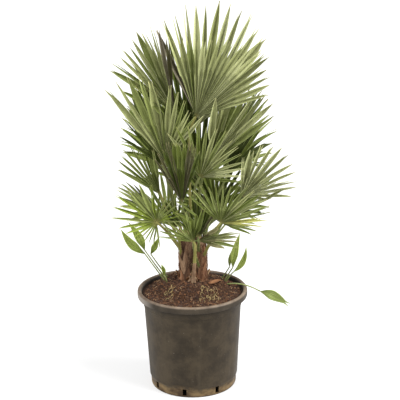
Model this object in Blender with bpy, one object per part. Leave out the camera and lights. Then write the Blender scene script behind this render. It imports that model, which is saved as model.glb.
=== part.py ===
# Potted fan palm: pot, soil, clustered stems, leaf stalks, fan blades and young strap leaves.
# Units are metres, +Z is up, the origin is the centre of the flat underside of the pot.
import math

import bmesh
import bpy
from mathutils import Matrix, Vector
from mathutils.bvhtree import BVHTree

for old in list(bpy.data.objects):
    bpy.data.objects.remove(old, do_unlink=True)

whole = bpy.data.objects.new("potted_palm", None)
bpy.context.scene.collection.objects.link(whole)
whole.hide_render = True
whole.display_type = "WIRE"

# Driving sizes
POT_HEIGHT = 0.320
RIM_RADIUS = 0.1755
WALL_TOP_RADIUS = 0.1575
FOOT_RADIUS = 0.1370
WALL = 0.0032
LIP_DROP = 0.024
FOOT_BAND = 0.030
FLOOR = 0.004
SLOTS = 8
SLOT_WIDTH = 0.013
SLOT_HEIGHT = 0.022
POT_SIDES = 48
SOIL_EDGE_Z = 0.306
MOUND_Z = 0.342
MOUND_FLAT = 0.062
MOUND_FOOT = 0.146
MOUND_Y = 0.028
GAP = 0.0003
BLADE_THICK = 0.0036
STALK_TIP = 0.0036
STALK_BASE = 0.0048
CLEAR = 0.0012

POT_GREY = (0.095, 0.084, 0.072)
SOIL_BROWN = (0.060, 0.028, 0.016)
BARK_BROWN = (0.110, 0.055, 0.034)
HUSK_TAN = (0.300, 0.140, 0.060)
STALK_GREEN = (0.330, 0.360, 0.110)
BLADE_GREEN = (0.190, 0.230, 0.085)
BLADE_DARK = (0.110, 0.150, 0.060)
YOUNG_GREEN = (0.200, 0.330, 0.060)

# Stems: foot, top, foot radius, top radius, number of old leaf bases
STEMS = {
    "stem_main": dict(foot=(-0.017, 0.026), top=(-0.019, 0.028, 0.490), r0=0.0205, r1=0.0195, boots=13),
    "stem_right": dict(foot=(0.0300, 0.014), top=(0.0315, 0.012, 0.465), r0=0.0140, r1=0.0145, boots=9),
    "stem_back": dict(foot=(0.012, 0.072), top=(0.016, 0.078, 0.480), r0=0.0190, r1=0.0175, boots=10),
}

# Fronds: hub of the blade; aim = angle of its middle above +X, lean = towards -Y, turn = about the
# middle line; spread, length, leaflets; reach = leaflet lengths from the first side to the other;
# split = part joined at the hub; seat = stem, bearing round it and height where the stalk starts.
FRONDS = {
    "top_front": dict(hub=(0.018, -0.050, 0.888), aim=63, lean=6, turn=0, spread=86, length=0.298,
        leaflets=17, reach=(0.85, 0.86, 0.84, 0.85, 0.87, 0.90, 0.96, 0.99, 0.92, 0.84, 0.78), split=0.56,
        droop=0.03, shape=(0.08, 2.3), seat=("stem_main", -45, 0.500)),
    "top_left": dict(hub=(-0.044, 0.004, 0.890), aim=115.5, lean=2, turn=-14, spread=53, length=0.290,
        leaflets=11, reach=(0.80, 0.84, 0.87, 0.88, 0.98, 0.99, 0.95, 0.92), split=0.42, droop=0.06,
        shape=(0.20, 3.0),
        seat=("stem_main", 90, 0.500, 0.0)),
    "top_behind": dict(hub=(0.032, 0.050, 0.845), aim=78.5, lean=-4, turn=4, spread=76, length=0.392,
        leaflets=14, reach=(0.84, 0.93, 0.92, 0.96, 0.95, 0.96, 1.00, 0.94, 0.87, 0.76, 0.66), split=0.50,
        droop=0.05, shape=(0.08, 2.0), seat=("stem_main", 35, 0.500)),
    "upper_left": dict(hub=(-0.075, -0.100, 0.764), aim=88, lean=10, turn=-6, spread=72, length=0.292,
        leaflets=12, reach=(1.02, 1.06, 0.98, 0.90, 0.78, 0.62, 0.76), split=0.40, droop=0.04,
        shape=(0.16, 2.3), seat=("stem_main", 210, 0.500)),
    "left_dark": dict(hub=(-0.084, -0.030, 0.732), aim=110, lean=0, turn=-20, spread=66, length=0.270,
        leaflets=9, reach=(0.60, 0.62, 0.80, 1.02, 0.95, 0.90), split=0.36, droop=0.06,
        seat=("stem_main", 157, 0.500)),
    "centre_front": dict(hub=(0.028, -0.112, 0.717), aim=59, lean=14, turn=0, spread=124, length=0.190,
        leaflets=14, reach=(1.00, 1.00, 0.97, 0.97, 0.88, 0.80, 0.76, 0.76), split=0.34, droop=0.04,
        shape=(0.20, 2.4), seat=("stem_right", 250, 0.475)),
    "right_pale": dict(hub=(0.050, -0.020, 0.722), aim=64, lean=2, turn=8, spread=46, length=0.300,
        leaflets=9, reach=(0.78, 0.82, 0.92, 1.04, 0.98, 0.86), split=0.46, droop=0.04,
        seat=("stem_right", 120, 0.475)),
    "right_dark": dict(hub=(0.120, 0.034, 0.690), aim=62, lean=0, turn=34, spread=84, length=0.185,
        leaflets=10, reach=(1.00, 1.05, 1.00, 0.86, 0.74, 0.62), split=0.40, droop=0.06,
        seat=("stem_right", 30, 0.475)),
    "right_out": dict(hub=(0.156, -0.010, 0.624), aim=43, lean=8, turn=8, spread=98, length=0.200,
        leaflets=12, reach=(0.70, 1.00, 1.06, 1.02, 0.94, 0.84, 0.80), split=0.34, droop=0.05,
        shape=(0.16, 3.4), seat=("stem_right", -22, 0.432)),
    "lower_right": dict(hub=(0.089, -0.082, 0.562), aim=56, lean=14, turn=6, spread=150, length=0.176,
        leaflets=18, reach=(0.88, 0.94, 0.84, 0.84, 0.97, 1.00, 1.00, 0.90, 0.72, 0.54), split=0.30,
        shape=(0.18, 2.6), droop=0.04, seat=("stem_right", -62, 0.415)),
    "lower_left": dict(hub=(-0.107, -0.084, 0.568), aim=138, lean=14, turn=4, spread=284, length=0.165,
        leaflets=21, reach=(0.50, 0.42, 0.44, 0.58, 0.86, 1.03, 0.88, 0.62, 0.52, 0.46, 0.42), split=0.26,
        shape=(0.15, 2.6), droop=0.03, seat=("stem_main", 200, 0.430)),
    "left_out": dict(hub=(-0.096, 0.004, 0.630), aim=117, lean=2, turn=-10, spread=54, length=0.204,
        leaflets=9, reach=(0.80, 0.88, 0.98, 0.98, 0.90, 0.80), split=0.38, droop=0.05,
        seat=("stem_main", 172, 0.452)),
    "centre_folded": dict(hub=(-0.026, -0.122, 0.640), aim=93, lean=3, turn=-12, spread=50, length=0.205,
        leaflets=10, reach=(0.80, 0.92, 1.00, 1.00, 0.95), split=0.50, droop=0.02, shape=(0.12, 2.6),
        seat=("stem_main", 262, 0.500)),
    "front_low": dict(hub=(0.006, -0.078, 0.500), aim=118, lean=14, turn=0, spread=88, length=0.146,
        leaflets=11, reach=(0.88, 0.92, 0.80, 0.64, 0.80, 1.25, 0.90), split=0.30, droop=0.02,
        shape=(0.16, 2.6), bow=0.04, seat=("soil", 0.004, -0.012)),
    "low_left": dict(hub=(-0.046, -0.030, 0.530), aim=110, lean=2, turn=0, spread=84, length=0.118,
        leaflets=9, reach=(0.90, 1.00, 0.95, 0.80), split=0.36, droop=0.02, shape=(0.15, 2.6),
        seat=("stem_main", 214, 0.412)),
    "low_right": dict(hub=(0.017, -0.050, 0.495), aim=15, lean=12, turn=0, spread=50, length=0.138,
        leaflets=8, reach=(0.62, 0.92, 1.00, 1.00, 1.00, 0.50), split=0.46, droop=0.04, shape=(0.16, 2.8),
        bow=0.05, seat=("stem_right", -120, 0.375)),
    "centre_behind": dict(hub=(0.030, 0.084, 0.665), aim=84, lean=-3, turn=0, spread=92, length=0.285,
        leaflets=13, reach=(0.90, 0.95, 1.00, 1.00, 0.95, 0.90), split=0.44, droop=0.05, fused=True,
        seat=("stem_back", -88, 0.490)),
    "front_mid": dict(hub=(0.020, -0.065, 0.509), aim=97, lean=0, turn=0, spread=84, length=0.165,
        leaflets=11, reach=(0.85, 0.95, 1.00, 0.92, 1.00, 0.95, 0.85), split=0.32, droop=0.03, fused=True,
        shape=(0.16, 2.8), seat=("stem_right", 235, 0.430)),
    "centre_low": dict(hub=(0.041, 0.170, 0.457), aim=93, lean=0, turn=0, spread=100, length=0.165,
        leaflets=13, reach=(0.85, 0.95, 1.00, 0.90, 1.00, 0.95, 0.85), split=0.34, droop=0.03, fused=True,
        seat=("stem_back", 75, 0.400)),
    "right_inner": dict(hub=(0.078, 0.050, 0.566), aim=102, lean=0, turn=10, spread=150, length=0.165,
        leaflets=16, reach=(0.80, 0.95, 1.00, 1.00, 0.85), split=0.42, droop=0.05, fused=True,
        seat=("stem_back", -62, 0.460)),
    "back_high": dict(hub=(-0.010, 0.130, 0.790), aim=92, lean=-18, turn=0, spread=110, length=0.310,
        leaflets=13, reach=(0.75, 0.95, 1.00, 1.00, 0.95, 0.75), split=0.40, droop=0.10, fused=True,
        seat=("stem_back", 92, 0.490)),
    "back_left": dict(hub=(-0.052, 0.142, 0.676), aim=110, lean=-20, turn=-35, spread=110, length=0.265,
        leaflets=12, reach=(0.70, 0.92, 1.00, 1.00, 0.80), split=0.38, droop=0.12, fused=True,
        seat=("stem_back", 178, 0.490)),
    "back_right": dict(hub=(0.105, 0.132, 0.665), aim=60, lean=-22, turn=45, spread=110, length=0.255,
        leaflets=12, reach=(0.80, 1.00, 1.00, 0.92, 0.70), split=0.38, droop=0.12, fused=True,
        seat=("stem_back", -10, 0.490)),
    "side_left": dict(hub=(-0.092, 0.080, 0.742), aim=104, lean=-4, turn=-66, spread=116, length=0.220,
        leaflets=12, reach=(0.75, 0.95, 1.00, 0.95, 0.75), split=0.38, droop=0.10, fused=True,
        seat=("stem_main", 112, 0.455)),
    "side_right": dict(hub=(0.118, 0.084, 0.735), aim=70, lean=-6, turn=66, spread=116, length=0.230,
        leaflets=12, reach=(0.75, 0.95, 1.00, 0.95, 0.75), split=0.38, droop=0.10, fused=True,
        seat=("stem_back", -22, 0.440)),
    "back_mid": dict(hub=(0.012, 0.190, 0.600), aim=90, lean=-44, turn=0, spread=150, length=0.235,
        leaflets=15, reach=(0.70, 0.90, 1.00, 1.00, 0.90, 0.70), split=0.34, droop=0.12, fused=True,
        seat=("stem_back", 95, 0.455)),
    "side_left_low": dict(hub=(-0.112, 0.080, 0.535), aim=138, lean=-18, turn=-50, spread=150, length=0.160,
        leaflets=12, reach=(0.70, 0.90, 1.00, 1.00, 0.80), split=0.34, droop=0.12, fused=True,
        seat=("stem_main", 140, 0.420)),
    "side_right_low": dict(hub=(0.146, 0.078, 0.548), aim=44, lean=-18, turn=50, spread=150, length=0.165,
        leaflets=12, reach=(0.80, 1.00, 1.00, 0.90, 0.70), split=0.34, droop=0.12, fused=True,
        seat=("stem_right", 25, 0.425)),
    "back_low_left": dict(hub=(-0.075, 0.165, 0.490), aim=128, lean=-46, turn=-14, spread=140, length=0.165,
        leaflets=12, reach=(0.70, 0.90, 1.00, 1.00, 0.80), split=0.34, droop=0.12, fused=True,
        seat=("stem_back", 140, 0.435)),
    "back_low_right": dict(hub=(0.100, 0.162, 0.490), aim=52, lean=-46, turn=14, spread=140, length=0.162,
        leaflets=12, reach=(0.80, 1.00, 1.00, 0.90, 0.70), split=0.34, droop=0.12, fused=True,
        seat=("stem_back", 30, 0.435)),
}

# Bent leaflets: frond, leaflet number, where it bends, bend across the blade and towards the front
KINKS = {
    ("upper_left", 5): (0.66, 40, 10),
    ("right_out", 11): (0.58, 42, -5),
    ("front_low", 8): (0.66, 58, 28),
    ("front_low", 9): (0.62, 68, 32),
}

# Young strap leaves: foot on the soil, middle of the stalk, start of the blade, tip, widest half
STRAPS = {
    "young_left_outer": dict(foot=(-0.086, 0.040), bend=(-0.112, 0.004, 0.380), throat=(-0.149, 0.0, 0.438),
        belly=(-0.189, -0.012, 0.474), tip=(-0.222, -0.010, 0.525), half=0.0140, face=-20),
    "young_left_upper": dict(foot=(-0.081, 0.050), bend=(-0.112, 0.018, 0.384), throat=(-0.150, 0.014, 0.446),
        belly=(-0.167, 0.016, 0.488), tip=(-0.200, 0.026, 0.536), half=0.0135, face=-12),
    "young_left_inner": dict(foot=(-0.075, 0.060), bend=(-0.108, 0.036, 0.386), throat=(-0.131, 0.034, 0.424),
        belly=(-0.117, 0.034, 0.450), tip=(-0.107, 0.036, 0.477), half=0.0100, face=14),
    "young_left_small": dict(foot=(-0.082, 0.016), bend=(-0.080, 0.0, 0.350), throat=(-0.089, -0.004, 0.365),
        belly=(-0.090, -0.006, 0.384), tip=(-0.098, -0.004, 0.403), half=0.0062, face=10),
    "young_right_outer": dict(foot=(0.104, 0.044), bend=(0.118, 0.034, 0.344), throat=(0.133, 0.026, 0.362),
        belly=(0.163, 0.022, 0.398), tip=(0.173, 0.018, 0.452), half=0.0095, face=14),
    "young_right_tall": dict(foot=(0.100, 0.054), bend=(0.116, 0.046, 0.346), throat=(0.131, 0.040, 0.372),
        belly=(0.138, 0.036, 0.426), tip=(0.155, 0.040, 0.490), half=0.0118, face=4),
    "young_right_inner": dict(foot=(0.092, 0.066), bend=(0.108, 0.062, 0.344), throat=(0.121, 0.060, 0.366),
        belly=(0.123, 0.057, 0.396), tip=(0.130, 0.058, 0.426), half=0.0058, face=-8),
    "young_trailing": dict(foot=(0.104, 0.034), bend=(0.158, 0.008, 0.338), throat=(0.217, -0.030, 0.3145),
        belly=(0.259, -0.042, 0.303), tip=(0.306, -0.054, 0.276), half=0.0152, face=6),
}

# Shed leaf base on the soil: middle line, half widths and thickness
HUSK = dict(points=((0.055, -0.031, 0.3412), (0.068, -0.019, 0.3402), (0.082, 0.001, 0.3384),
                    (0.094, 0.019, 0.3342)), halves=(0.0080, 0.0110, 0.0090, 0.0035), thick=0.0026)


# Small helpers
def wobble(name, index, channel):
    seed = sum((k + 1) * ord(c) for k, c in enumerate(name))
    x = math.sin(seed * 12.9898 + index * 78.233 + channel * 37.719) * 43758.5453
    return 2.0 * (x - math.floor(x)) - 1.0


def smooth_mix(values, t):
    t = min(max(t, 0.0), 1.0) * (len(values) - 1)
    k = min(int(t), len(values) - 2)
    u = t - k
    return values[k] * (1 - u) + values[k + 1] * u


def bezier(a, b, c, d, t):
    s = 1 - t
    return a * s**3 + b * (3 * s * s * t) + c * (3 * s * t * t) + d * t**3


def material(name, colour, rough):
    mat = bpy.data.materials.new(name)
    mat.use_nodes = True
    shader = mat.node_tree.nodes["Principled BSDF"]
    shader.inputs["Base Color"].default_value = (*colour, 1.0)
    shader.inputs["Roughness"].default_value = rough
    shader.inputs["Metallic"].default_value = 0.0
    return mat


def solid(name, verts, faces, colour, rough=0.6, smooth=False, place=(0, 0, 0), whole=whole):
    """Closed body whose own origin is at place, carried by the empty of the whole plant."""
    place = Vector(place)
    mesh = bpy.data.meshes.new(name)
    mesh.from_pydata([tuple(v - place) for v in verts], [], faces)
    bm = bmesh.new()
    bm.from_mesh(mesh)
    bmesh.ops.recalc_face_normals(bm, faces=bm.faces)
    bmesh.ops.triangulate(bm, faces=[f for f in bm.faces if len(f.verts) > 4])
    bm.to_mesh(mesh)
    bm.free()
    obj = bpy.data.objects.new(name, mesh)
    bpy.context.scene.collection.objects.link(obj)
    obj.location = place
    obj.parent = whole
    mesh.materials.append(material(name + "_look", colour, rough))
    if smooth:
        mesh.shade_smooth()
        mesh.set_sharp_from_angle(angle=math.radians(35))
    return obj


def cutter(name, verts, faces):
    obj = solid(name, verts, faces, (0.5, 0.5, 0.5), whole=None)
    obj.hide_render = True
    obj.display_type = "WIRE"
    return obj


def cut(target, tool):
    mod = target.modifiers.new("cut_" + tool.name, "BOOLEAN")
    mod.operation = "DIFFERENCE"
    mod.solver = "EXACT"
    mod.object = tool


def lathe(profile, sides, wave=None):
    verts, faces = [], []
    rings = []
    for r, z in profile:
        if r < 1e-9:
            rings.append([len(verts)])
            verts.append(Vector((0, 0, z)))
            continue
        rings.append([len(verts) + k for k in range(sides)])
        for k in range(sides):
            a = 2 * math.pi * k / sides
            dz = wave(r, a) if wave else 0.0
            verts.append(Vector((r * math.cos(a), r * math.sin(a), z + dz)))
    for lower, upper in zip(rings[:-1], rings[1:]):
        for k in range(sides):
            n = (k + 1) % sides
            if len(lower) == 1:
                faces.append((lower[0], upper[k], upper[n]))
            elif len(upper) == 1:
                faces.append((lower[k], lower[n], upper[0]))
            else:
                faces.append((lower[k], lower[n], upper[n], upper[k]))
    return verts, faces


def tube(points, radii, sides, first_normal=None, last_normal=None):
    """Closed tube with flat ends; the end rings are square to the first and last direction."""
    verts, faces, rings = [], [], []
    count = len(points)
    side = None
    for k, p in enumerate(points):
        if k == 0:
            t = (first_normal or (points[1] - points[0])).normalized()
        elif k == count - 1:
            t = (last_normal or (points[k] - points[k - 1])).normalized()
        else:
            t = (points[k + 1] - points[k - 1]).normalized()
        if side is None:
            side = t.cross(Vector((0.31, 1.0, 0.17))).normalized()
        side = (side - t * side.dot(t)).normalized()
        other = t.cross(side)
        ring = []
        for j in range(sides):
            a = 2 * math.pi * j / sides
            ring.append(len(verts))
            verts.append(p + (side * math.cos(a) + other * math.sin(a)) * radii[k])
        rings.append(ring)
    for a, b in zip(rings[:-1], rings[1:]):
        for j in range(sides):
            n = (j + 1) % sides
            faces.append((a[j], a[n], b[n], b[j]))
    faces.append(tuple(reversed(rings[0])))
    faces.append(tuple(rings[-1]))
    return verts, faces


# Pot
def make_pot():
    lip_z = POT_HEIGHT - LIP_DROP
    top = POT_HEIGHT
    wall_top = WALL_TOP_RADIUS
    band = FOOT_RADIUS + 0.0012
    profile = [
        (0.0, 0.0), (FOOT_RADIUS - 0.006, 0.0), (FOOT_RADIUS - 0.0015, 0.002), (FOOT_RADIUS, 0.006),
        (band, FOOT_BAND), (band + 0.0030, FOOT_BAND + 0.004), (wall_top, lip_z - 0.006),
        (wall_top + 0.004, lip_z), (RIM_RADIUS - 0.0030, lip_z + 0.0015), (RIM_RADIUS, lip_z + 0.005),
        (RIM_RADIUS - 0.0005, top - 0.006), (RIM_RADIUS - 0.0040, top - 0.0005), (RIM_RADIUS - 0.0085, top),
        (RIM_RADIUS - 0.0125, top - 0.002), (wall_top - WALL + 0.0045, lip_z + 0.006),
        (wall_top - WALL, lip_z - 0.004), (band - WALL, FOOT_BAND), (FOOT_RADIUS - WALL - 0.002, FLOOR),
        (0.0, FLOOR),
    ]
    verts, faces = lathe(profile, POT_SIDES)
    pot = solid("pot", verts, faces, POT_GREY, 0.62, smooth=True)
    verts, faces = [], []
    for k in range(SLOTS):
        a = 2 * math.pi * (k + 0.5) / SLOTS + math.radians(10)
        out = Vector((math.cos(a), math.sin(a), 0))
        along = Vector((-math.sin(a), math.cos(a), 0))
        base = len(verts)
        for r in (FOOT_RADIUS - 0.012, FOOT_RADIUS + 0.010):
            for s in (-1, 1):
                for z in (0.0065, 0.0065 + SLOT_HEIGHT):
                    verts.append(out * r + along * s * SLOT_WIDTH / 2 + Vector((0, 0, z)))
        for f in ((0, 1, 3, 2), (4, 6, 7, 5), (0, 4, 5, 1), (2, 3, 7, 6), (0, 2, 6, 4), (1, 5, 7, 3)):
            faces.append(tuple(base + i for i in f))
    cut(pot, cutter("slot_cutter", verts, faces))
    return pot


def soil_height(x, y):
    r = math.hypot(x, y - MOUND_Y)
    t = min(max((r - MOUND_FLAT) / (MOUND_FOOT - MOUND_FLAT), 0.0), 1.0)
    ease = 0.5 + 0.5 * math.cos(math.pi * t)
    return SOIL_EDGE_Z + (MOUND_Z - SOIL_EDGE_Z) * ease


def soil_mesh(lift):
    band = FOOT_RADIUS + 0.0012
    sides = POT_SIDES
    lip_z = POT_HEIGHT - LIP_DROP
    inner = [(band - WALL - GAP, FOOT_BAND), (WALL_TOP_RADIUS - WALL - GAP, lip_z - 0.004)]
    edge_r = WALL_TOP_RADIUS - WALL + 0.0025 - GAP
    verts, rings = [], []
    for r, z in [(FOOT_RADIUS - WALL - 0.002 - GAP, FLOOR + GAP)] + inner + [(edge_r, SOIL_EDGE_Z)]:
        rings.append([len(verts) + k for k in range(sides)])
        for k in range(sides):
            a = 2 * math.pi * k / sides
            verts.append(Vector((r * math.cos(a), r * math.sin(a), z)))
    steps = (0.0, 0.2, 0.4, 0.6, 0.8)
    for s in steps:
        rings.append([len(verts) + k for k in range(sides)])
        for k in range(sides):
            a = 2 * math.pi * k / sides
            far_x, far_y = edge_r * 0.93 * math.cos(a), edge_r * 0.93 * math.sin(a)
            near_x, near_y = MOUND_FLAT * math.cos(a), MOUND_Y + MOUND_FLAT * math.sin(a)
            x, y = far_x + (near_x - far_x) * s, far_y + (near_y - far_y) * s
            verts.append(Vector((x, y, soil_height(x, y))))
    rings.append([len(verts) + k for k in range(sides)])
    for k in range(sides):
        a = 2 * math.pi * k / sides
        verts.append(Vector((MOUND_FLAT * math.cos(a), MOUND_Y + MOUND_FLAT * math.sin(a), MOUND_Z)))
    faces = [tuple(reversed(rings[0])), tuple(rings[-1])]
    for a, b in zip(rings[:-1], rings[1:]):
        for k in range(sides):
            n = (k + 1) % sides
            faces.append((a[k], a[n], b[n]))
            faces.append((a[k], b[n], b[k]))
    return [v + Vector((0, 0, lift)) for v in verts], faces


# Stems, each wrapped in old leaf bases that step out and end in a blunt edge
def stem_radius(name, row, a, t):
    r = row["r0"] + (row["r1"] - row["r0"]) * min(t * 1.6, 1.0) + 0.004 * max(0.0, 0.16 - t) / 0.16
    height = row["top"][2] - MOUND_Z
    for k in range(row["boots"]):
        at_z = (0.22 + 0.72 * (k + 0.5) / row["boots"])
        at_a = k * 2.39996 + (0.6 if name == "stem_main" else 0.2)
        da = math.atan2(math.sin(a - at_a), math.cos(a - at_a))
        below = (at_z - t) * height
        if abs(da) < 0.75 and 0.0 <= below < 0.040:
            r += 0.0050 * (1 - (abs(da) / 0.75) ** 2) * (1 - below / 0.040)
    return r


def make_stem(name, row, grow=0.0):
    sides, levels = 16, 13
    foot = Vector((row["foot"][0], row["foot"][1], MOUND_Z + GAP))
    top = Vector(row["top"])
    verts, rings = [], []
    for k in range(levels):
        t = k / (levels - 1)
        c = foot.lerp(top, t)
        if grow:
            c = c + Vector((0, 0, GAP * (1 if k == levels - 1 else 0)))
        rings.append([len(verts) + j for j in range(sides)])
        for j in range(sides):
            a = 2 * math.pi * j / sides + 0.11 * k
            r = stem_radius(name, row, a, t) + grow
            verts.append(Vector((c.x + r * math.cos(a), c.y + r * math.sin(a), c.z)))
    faces = [tuple(reversed(rings[0])), tuple(rings[-1])]
    for a, b in zip(rings[:-1], rings[1:]):
        for j in range(sides):
            n = (j + 1) % sides
            faces.append((a[j], a[n], b[n]))
            faces.append((a[j], b[n], b[j]))
    return verts, faces


# Fronds
def axes(row):
    aim, lean, turn = (math.radians(row[k]) for k in ("aim", "lean", "turn"))
    mid = Vector((math.cos(lean) * math.cos(aim), -math.sin(lean), math.cos(lean) * math.sin(aim)))
    front = Vector((0, -1, 0))
    normal = (front - mid * mid.dot(front)).normalized()
    normal = Matrix.Rotation(turn, 3, mid) @ normal
    return mid, normal, mid.cross(normal)


def seat_point(row):
    kind = row["seat"][0]
    if kind == "soil":
        return Vector((row["seat"][1], row["seat"][2], MOUND_Z - 0.012)), Vector((0, -0.25, 1)).normalized()
    stem = STEMS[kind]
    a = math.radians(row["seat"][1])
    out = Vector((math.cos(a), math.sin(a), 0))
    level = row["seat"][2]
    top = Vector(stem["top"])
    if level > top.z:
        ring = row["seat"][3] if len(row["seat"]) > 3 else 0.66
        start = top + out * (stem["r1"] * ring) + Vector((0, 0, GAP))
        return start, (out * 0.22 + Vector((0, 0, 1))).normalized()
    foot = Vector((stem["foot"][0], stem["foot"][1], MOUND_Z))
    c = foot.lerp(top, (level - MOUND_Z) / (top.z - MOUND_Z))
    return c + out * (stem["r1"] * 0.45), (out * 0.75 + Vector((0, 0, 1))).normalized()


def seat_on_top(row):
    kind = row["seat"][0]
    return kind != "soil" and row["seat"][2] > STEMS[kind]["top"][2]


def stalk_curve(row, count):
    mid, normal, side = axes(row)
    start, rise = seat_point(row)
    end = Vector(row["hub"]) - mid * (0.010 + GAP)
    d = (end - start).length
    low, high = start + rise * d * 0.34, end - mid * d * row.get("bow", 0.20)
    return [bezier(start, low, high, end, k / (count - 1)) for k in range(count)]


def sides_of(row):
    return 0.5 * math.radians(row["spread"])


def leaflet_path(name, row, index, trial, steps=12):
    """Rib points, directions and blade normals of one leaflet; trial picks another bend."""
    mid, normal, side = axes(row)
    n = row["leaflets"]
    half = sides_of(row)
    phi = -half + 2 * half * (index + 0.5) / n
    q = abs(phi) / half
    length = row["length"] * smooth_mix(row["reach"], (index + 0.5) / n) * (1 + 0.04 * wobble(name, index, 1))
    flat = mid * math.cos(phi) + side * math.sin(phi)
    across = mid * -math.sin(phi) + side * math.cos(phi)
    cup = math.radians(row.get("cup", 6) + row.get("fold", 8) * q * q)
    d = flat * math.cos(cup) + normal * math.sin(cup)
    nn = normal * math.cos(cup) - flat * math.sin(cup)
    split = row["split"]
    shift, shrink = TRIALS[trial]
    lift = math.radians(shift + 3.0 * wobble(name, index, 2))
    sway = math.radians(1.6 * wobble(name, index, 3))
    droop = row["droop"] * (1 + 0.6 * wobble(name, index, 4))
    kink = KINKS.get((name, index))
    length *= shrink
    pts, dirs, norms = [Vector(row["hub"])], [d.copy()], [nn.copy()]
    kinked = False
    for k in range(1, steps + 1):
        s = k / steps
        if s > split:
            w = min((s - split) / 0.25, 1.0) / steps / max(1 - split, 0.2)
            turn = d.cross(nn).normalized()
            d = (Matrix.Rotation(-lift * 1.6 * w, 3, turn) @ d).normalized()
            d = (Matrix.Rotation(sway * 1.6 * w, 3, nn) @ d).normalized()
            down = Vector((0, 0, -1))
            d = (d + (down - d * d.dot(down)) * droop * s * 2.4 * w).normalized()
        if kink and not kinked and s >= kink[0]:
            d = Matrix.Rotation(math.radians(kink[1]), 3, nn) @ d
            d = Matrix.Rotation(math.radians(-kink[2]), 3, d.cross(nn).normalized()) @ d
            kinked = True
        nn = (nn - d * d.dot(nn)).normalized()
        pts.append(pts[-1] + d * (length / steps))
        dirs.append(d.copy())
        norms.append(nn.copy())
    return pts, dirs, norms, across, length


def at(values, s):
    x = min(max(s, 0.0), 1.0) * (len(values) - 1)
    k = min(int(x), len(values) - 2)
    return values[k].lerp(values[k + 1], x - k)


def valley(name, row, j, radius):
    """Point where leaflets j-1 and j part, at a set distance from the hub."""
    mid, normal, side = axes(row)
    n = row["leaflets"]
    half = sides_of(row)
    phi = -half + 2 * half * j / n
    q = abs(phi) / half
    flat = mid * math.cos(phi) + side * math.sin(phi)
    cup = math.radians(row.get("cup", 6) + row.get("fold", 8) * q * q)
    return Vector(row["hub"]) + (flat * math.cos(cup) + normal * math.sin(cup)) * radius


def split_radius(name, row, j):
    n = row["leaflets"]
    a = row["length"] * smooth_mix(row["reach"], j / n)
    return a * row["split"] * (1 + 0.10 * wobble(name, j, 7))


def half_width(row, u, base):
    """Half width of the free part of a leaflet: u runs from the split to the tip."""
    grow, taper = row.get("shape", (0.16, 2.7))
    return base * (1 + grow * min(u * 3.0, 1.0)) * max(0.0, 1 - u**taper)


RINGS = (0.34, 0.70)
TRIALS = [(0, 1.0), (9, 1.0), (-9, 1.0), (18, 1.0), (-18, 1.0), (0, 0.86), (12, 0.86), (-12, 0.86),
          (0, 0.72), (14, 0.72), (-14, 0.72), (0, 0.60), (20, 0.60), (-20, 0.60)]


def leaflet_rings(name, row, index, trial, fat=0.0):
    """Left, front, right and back points of each ring of the free part, and the tip."""
    n = row["leaflets"]
    pts, dirs, norms, across, length = leaflet_path(name, row, index, trial)
    rs = 0.5 * (split_radius(name, row, index) + split_radius(name, row, index + 1))
    s0 = min(rs / length, 0.8)
    left = valley(name, row, index, split_radius(name, row, index))
    right = valley(name, row, index + 1, split_radius(name, row, index + 1))
    base = (right - left).length * 0.5
    fold = row.get("vee", 0.55)
    thick = BLADE_THICK * 0.5 + fat
    c = at(pts, s0)
    nn = at(norms, s0).normalized()
    rings = [(left, c + nn * (thick - fold * base), right, c - nn * (thick + fold * base))]
    for u in RINGS:
        s = s0 + (1 - s0) * u
        c, d, nn = at(pts, s), at(dirs, s).normalized(), at(norms, s).normalized()
        w = d.cross(nn).normalized()
        if w.dot(across) < 0:
            w = -w
        h = half_width(row, u, base) + fat
        t = thick * (1.0 if u < 0.5 else 0.8)
        rings.append((c - w * h, c + nn * (t - fold * h), c + w * h, c - nn * (t + fold * h)))
    tip = at(pts, 1.0) - at(norms, 1.0) * fold * base * 0.4
    return rings, tip


def ring_tris(verts, rings, tip):
    """Triangles of a free leaflet, leaving its root open where it joins the blade."""
    faces = []
    for a, b in zip(rings[:-1], rings[1:]):
        for k in range(4):
            n = (k + 1) % 4
            faces.append((a[k], a[n], b[n]))
            faces.append((a[k], b[n], b[k]))
    last = rings[-1]
    for k in range(4):
        faces.append((last[k], last[(k + 1) % 4], tip))
    return faces


def loose_leaflet(rings, tip):
    """Stand-alone copy of a leaflet for the crossing test."""
    verts = [v for ring in rings for v in ring] + [tip]
    index = [[4 * r + k for k in range(4)] for r in range(len(rings))]
    faces = ring_tris(verts, index, len(verts) - 1) + [(3, 2, 1), (3, 1, 0)]
    return verts, faces


def blade_core(name, row, fat=0.0):
    """Fan around the hub joined to the short stalk end, as one thin body without leaflets."""
    return blade_mesh(name, row, {}, fat, plain_end=True)


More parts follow.
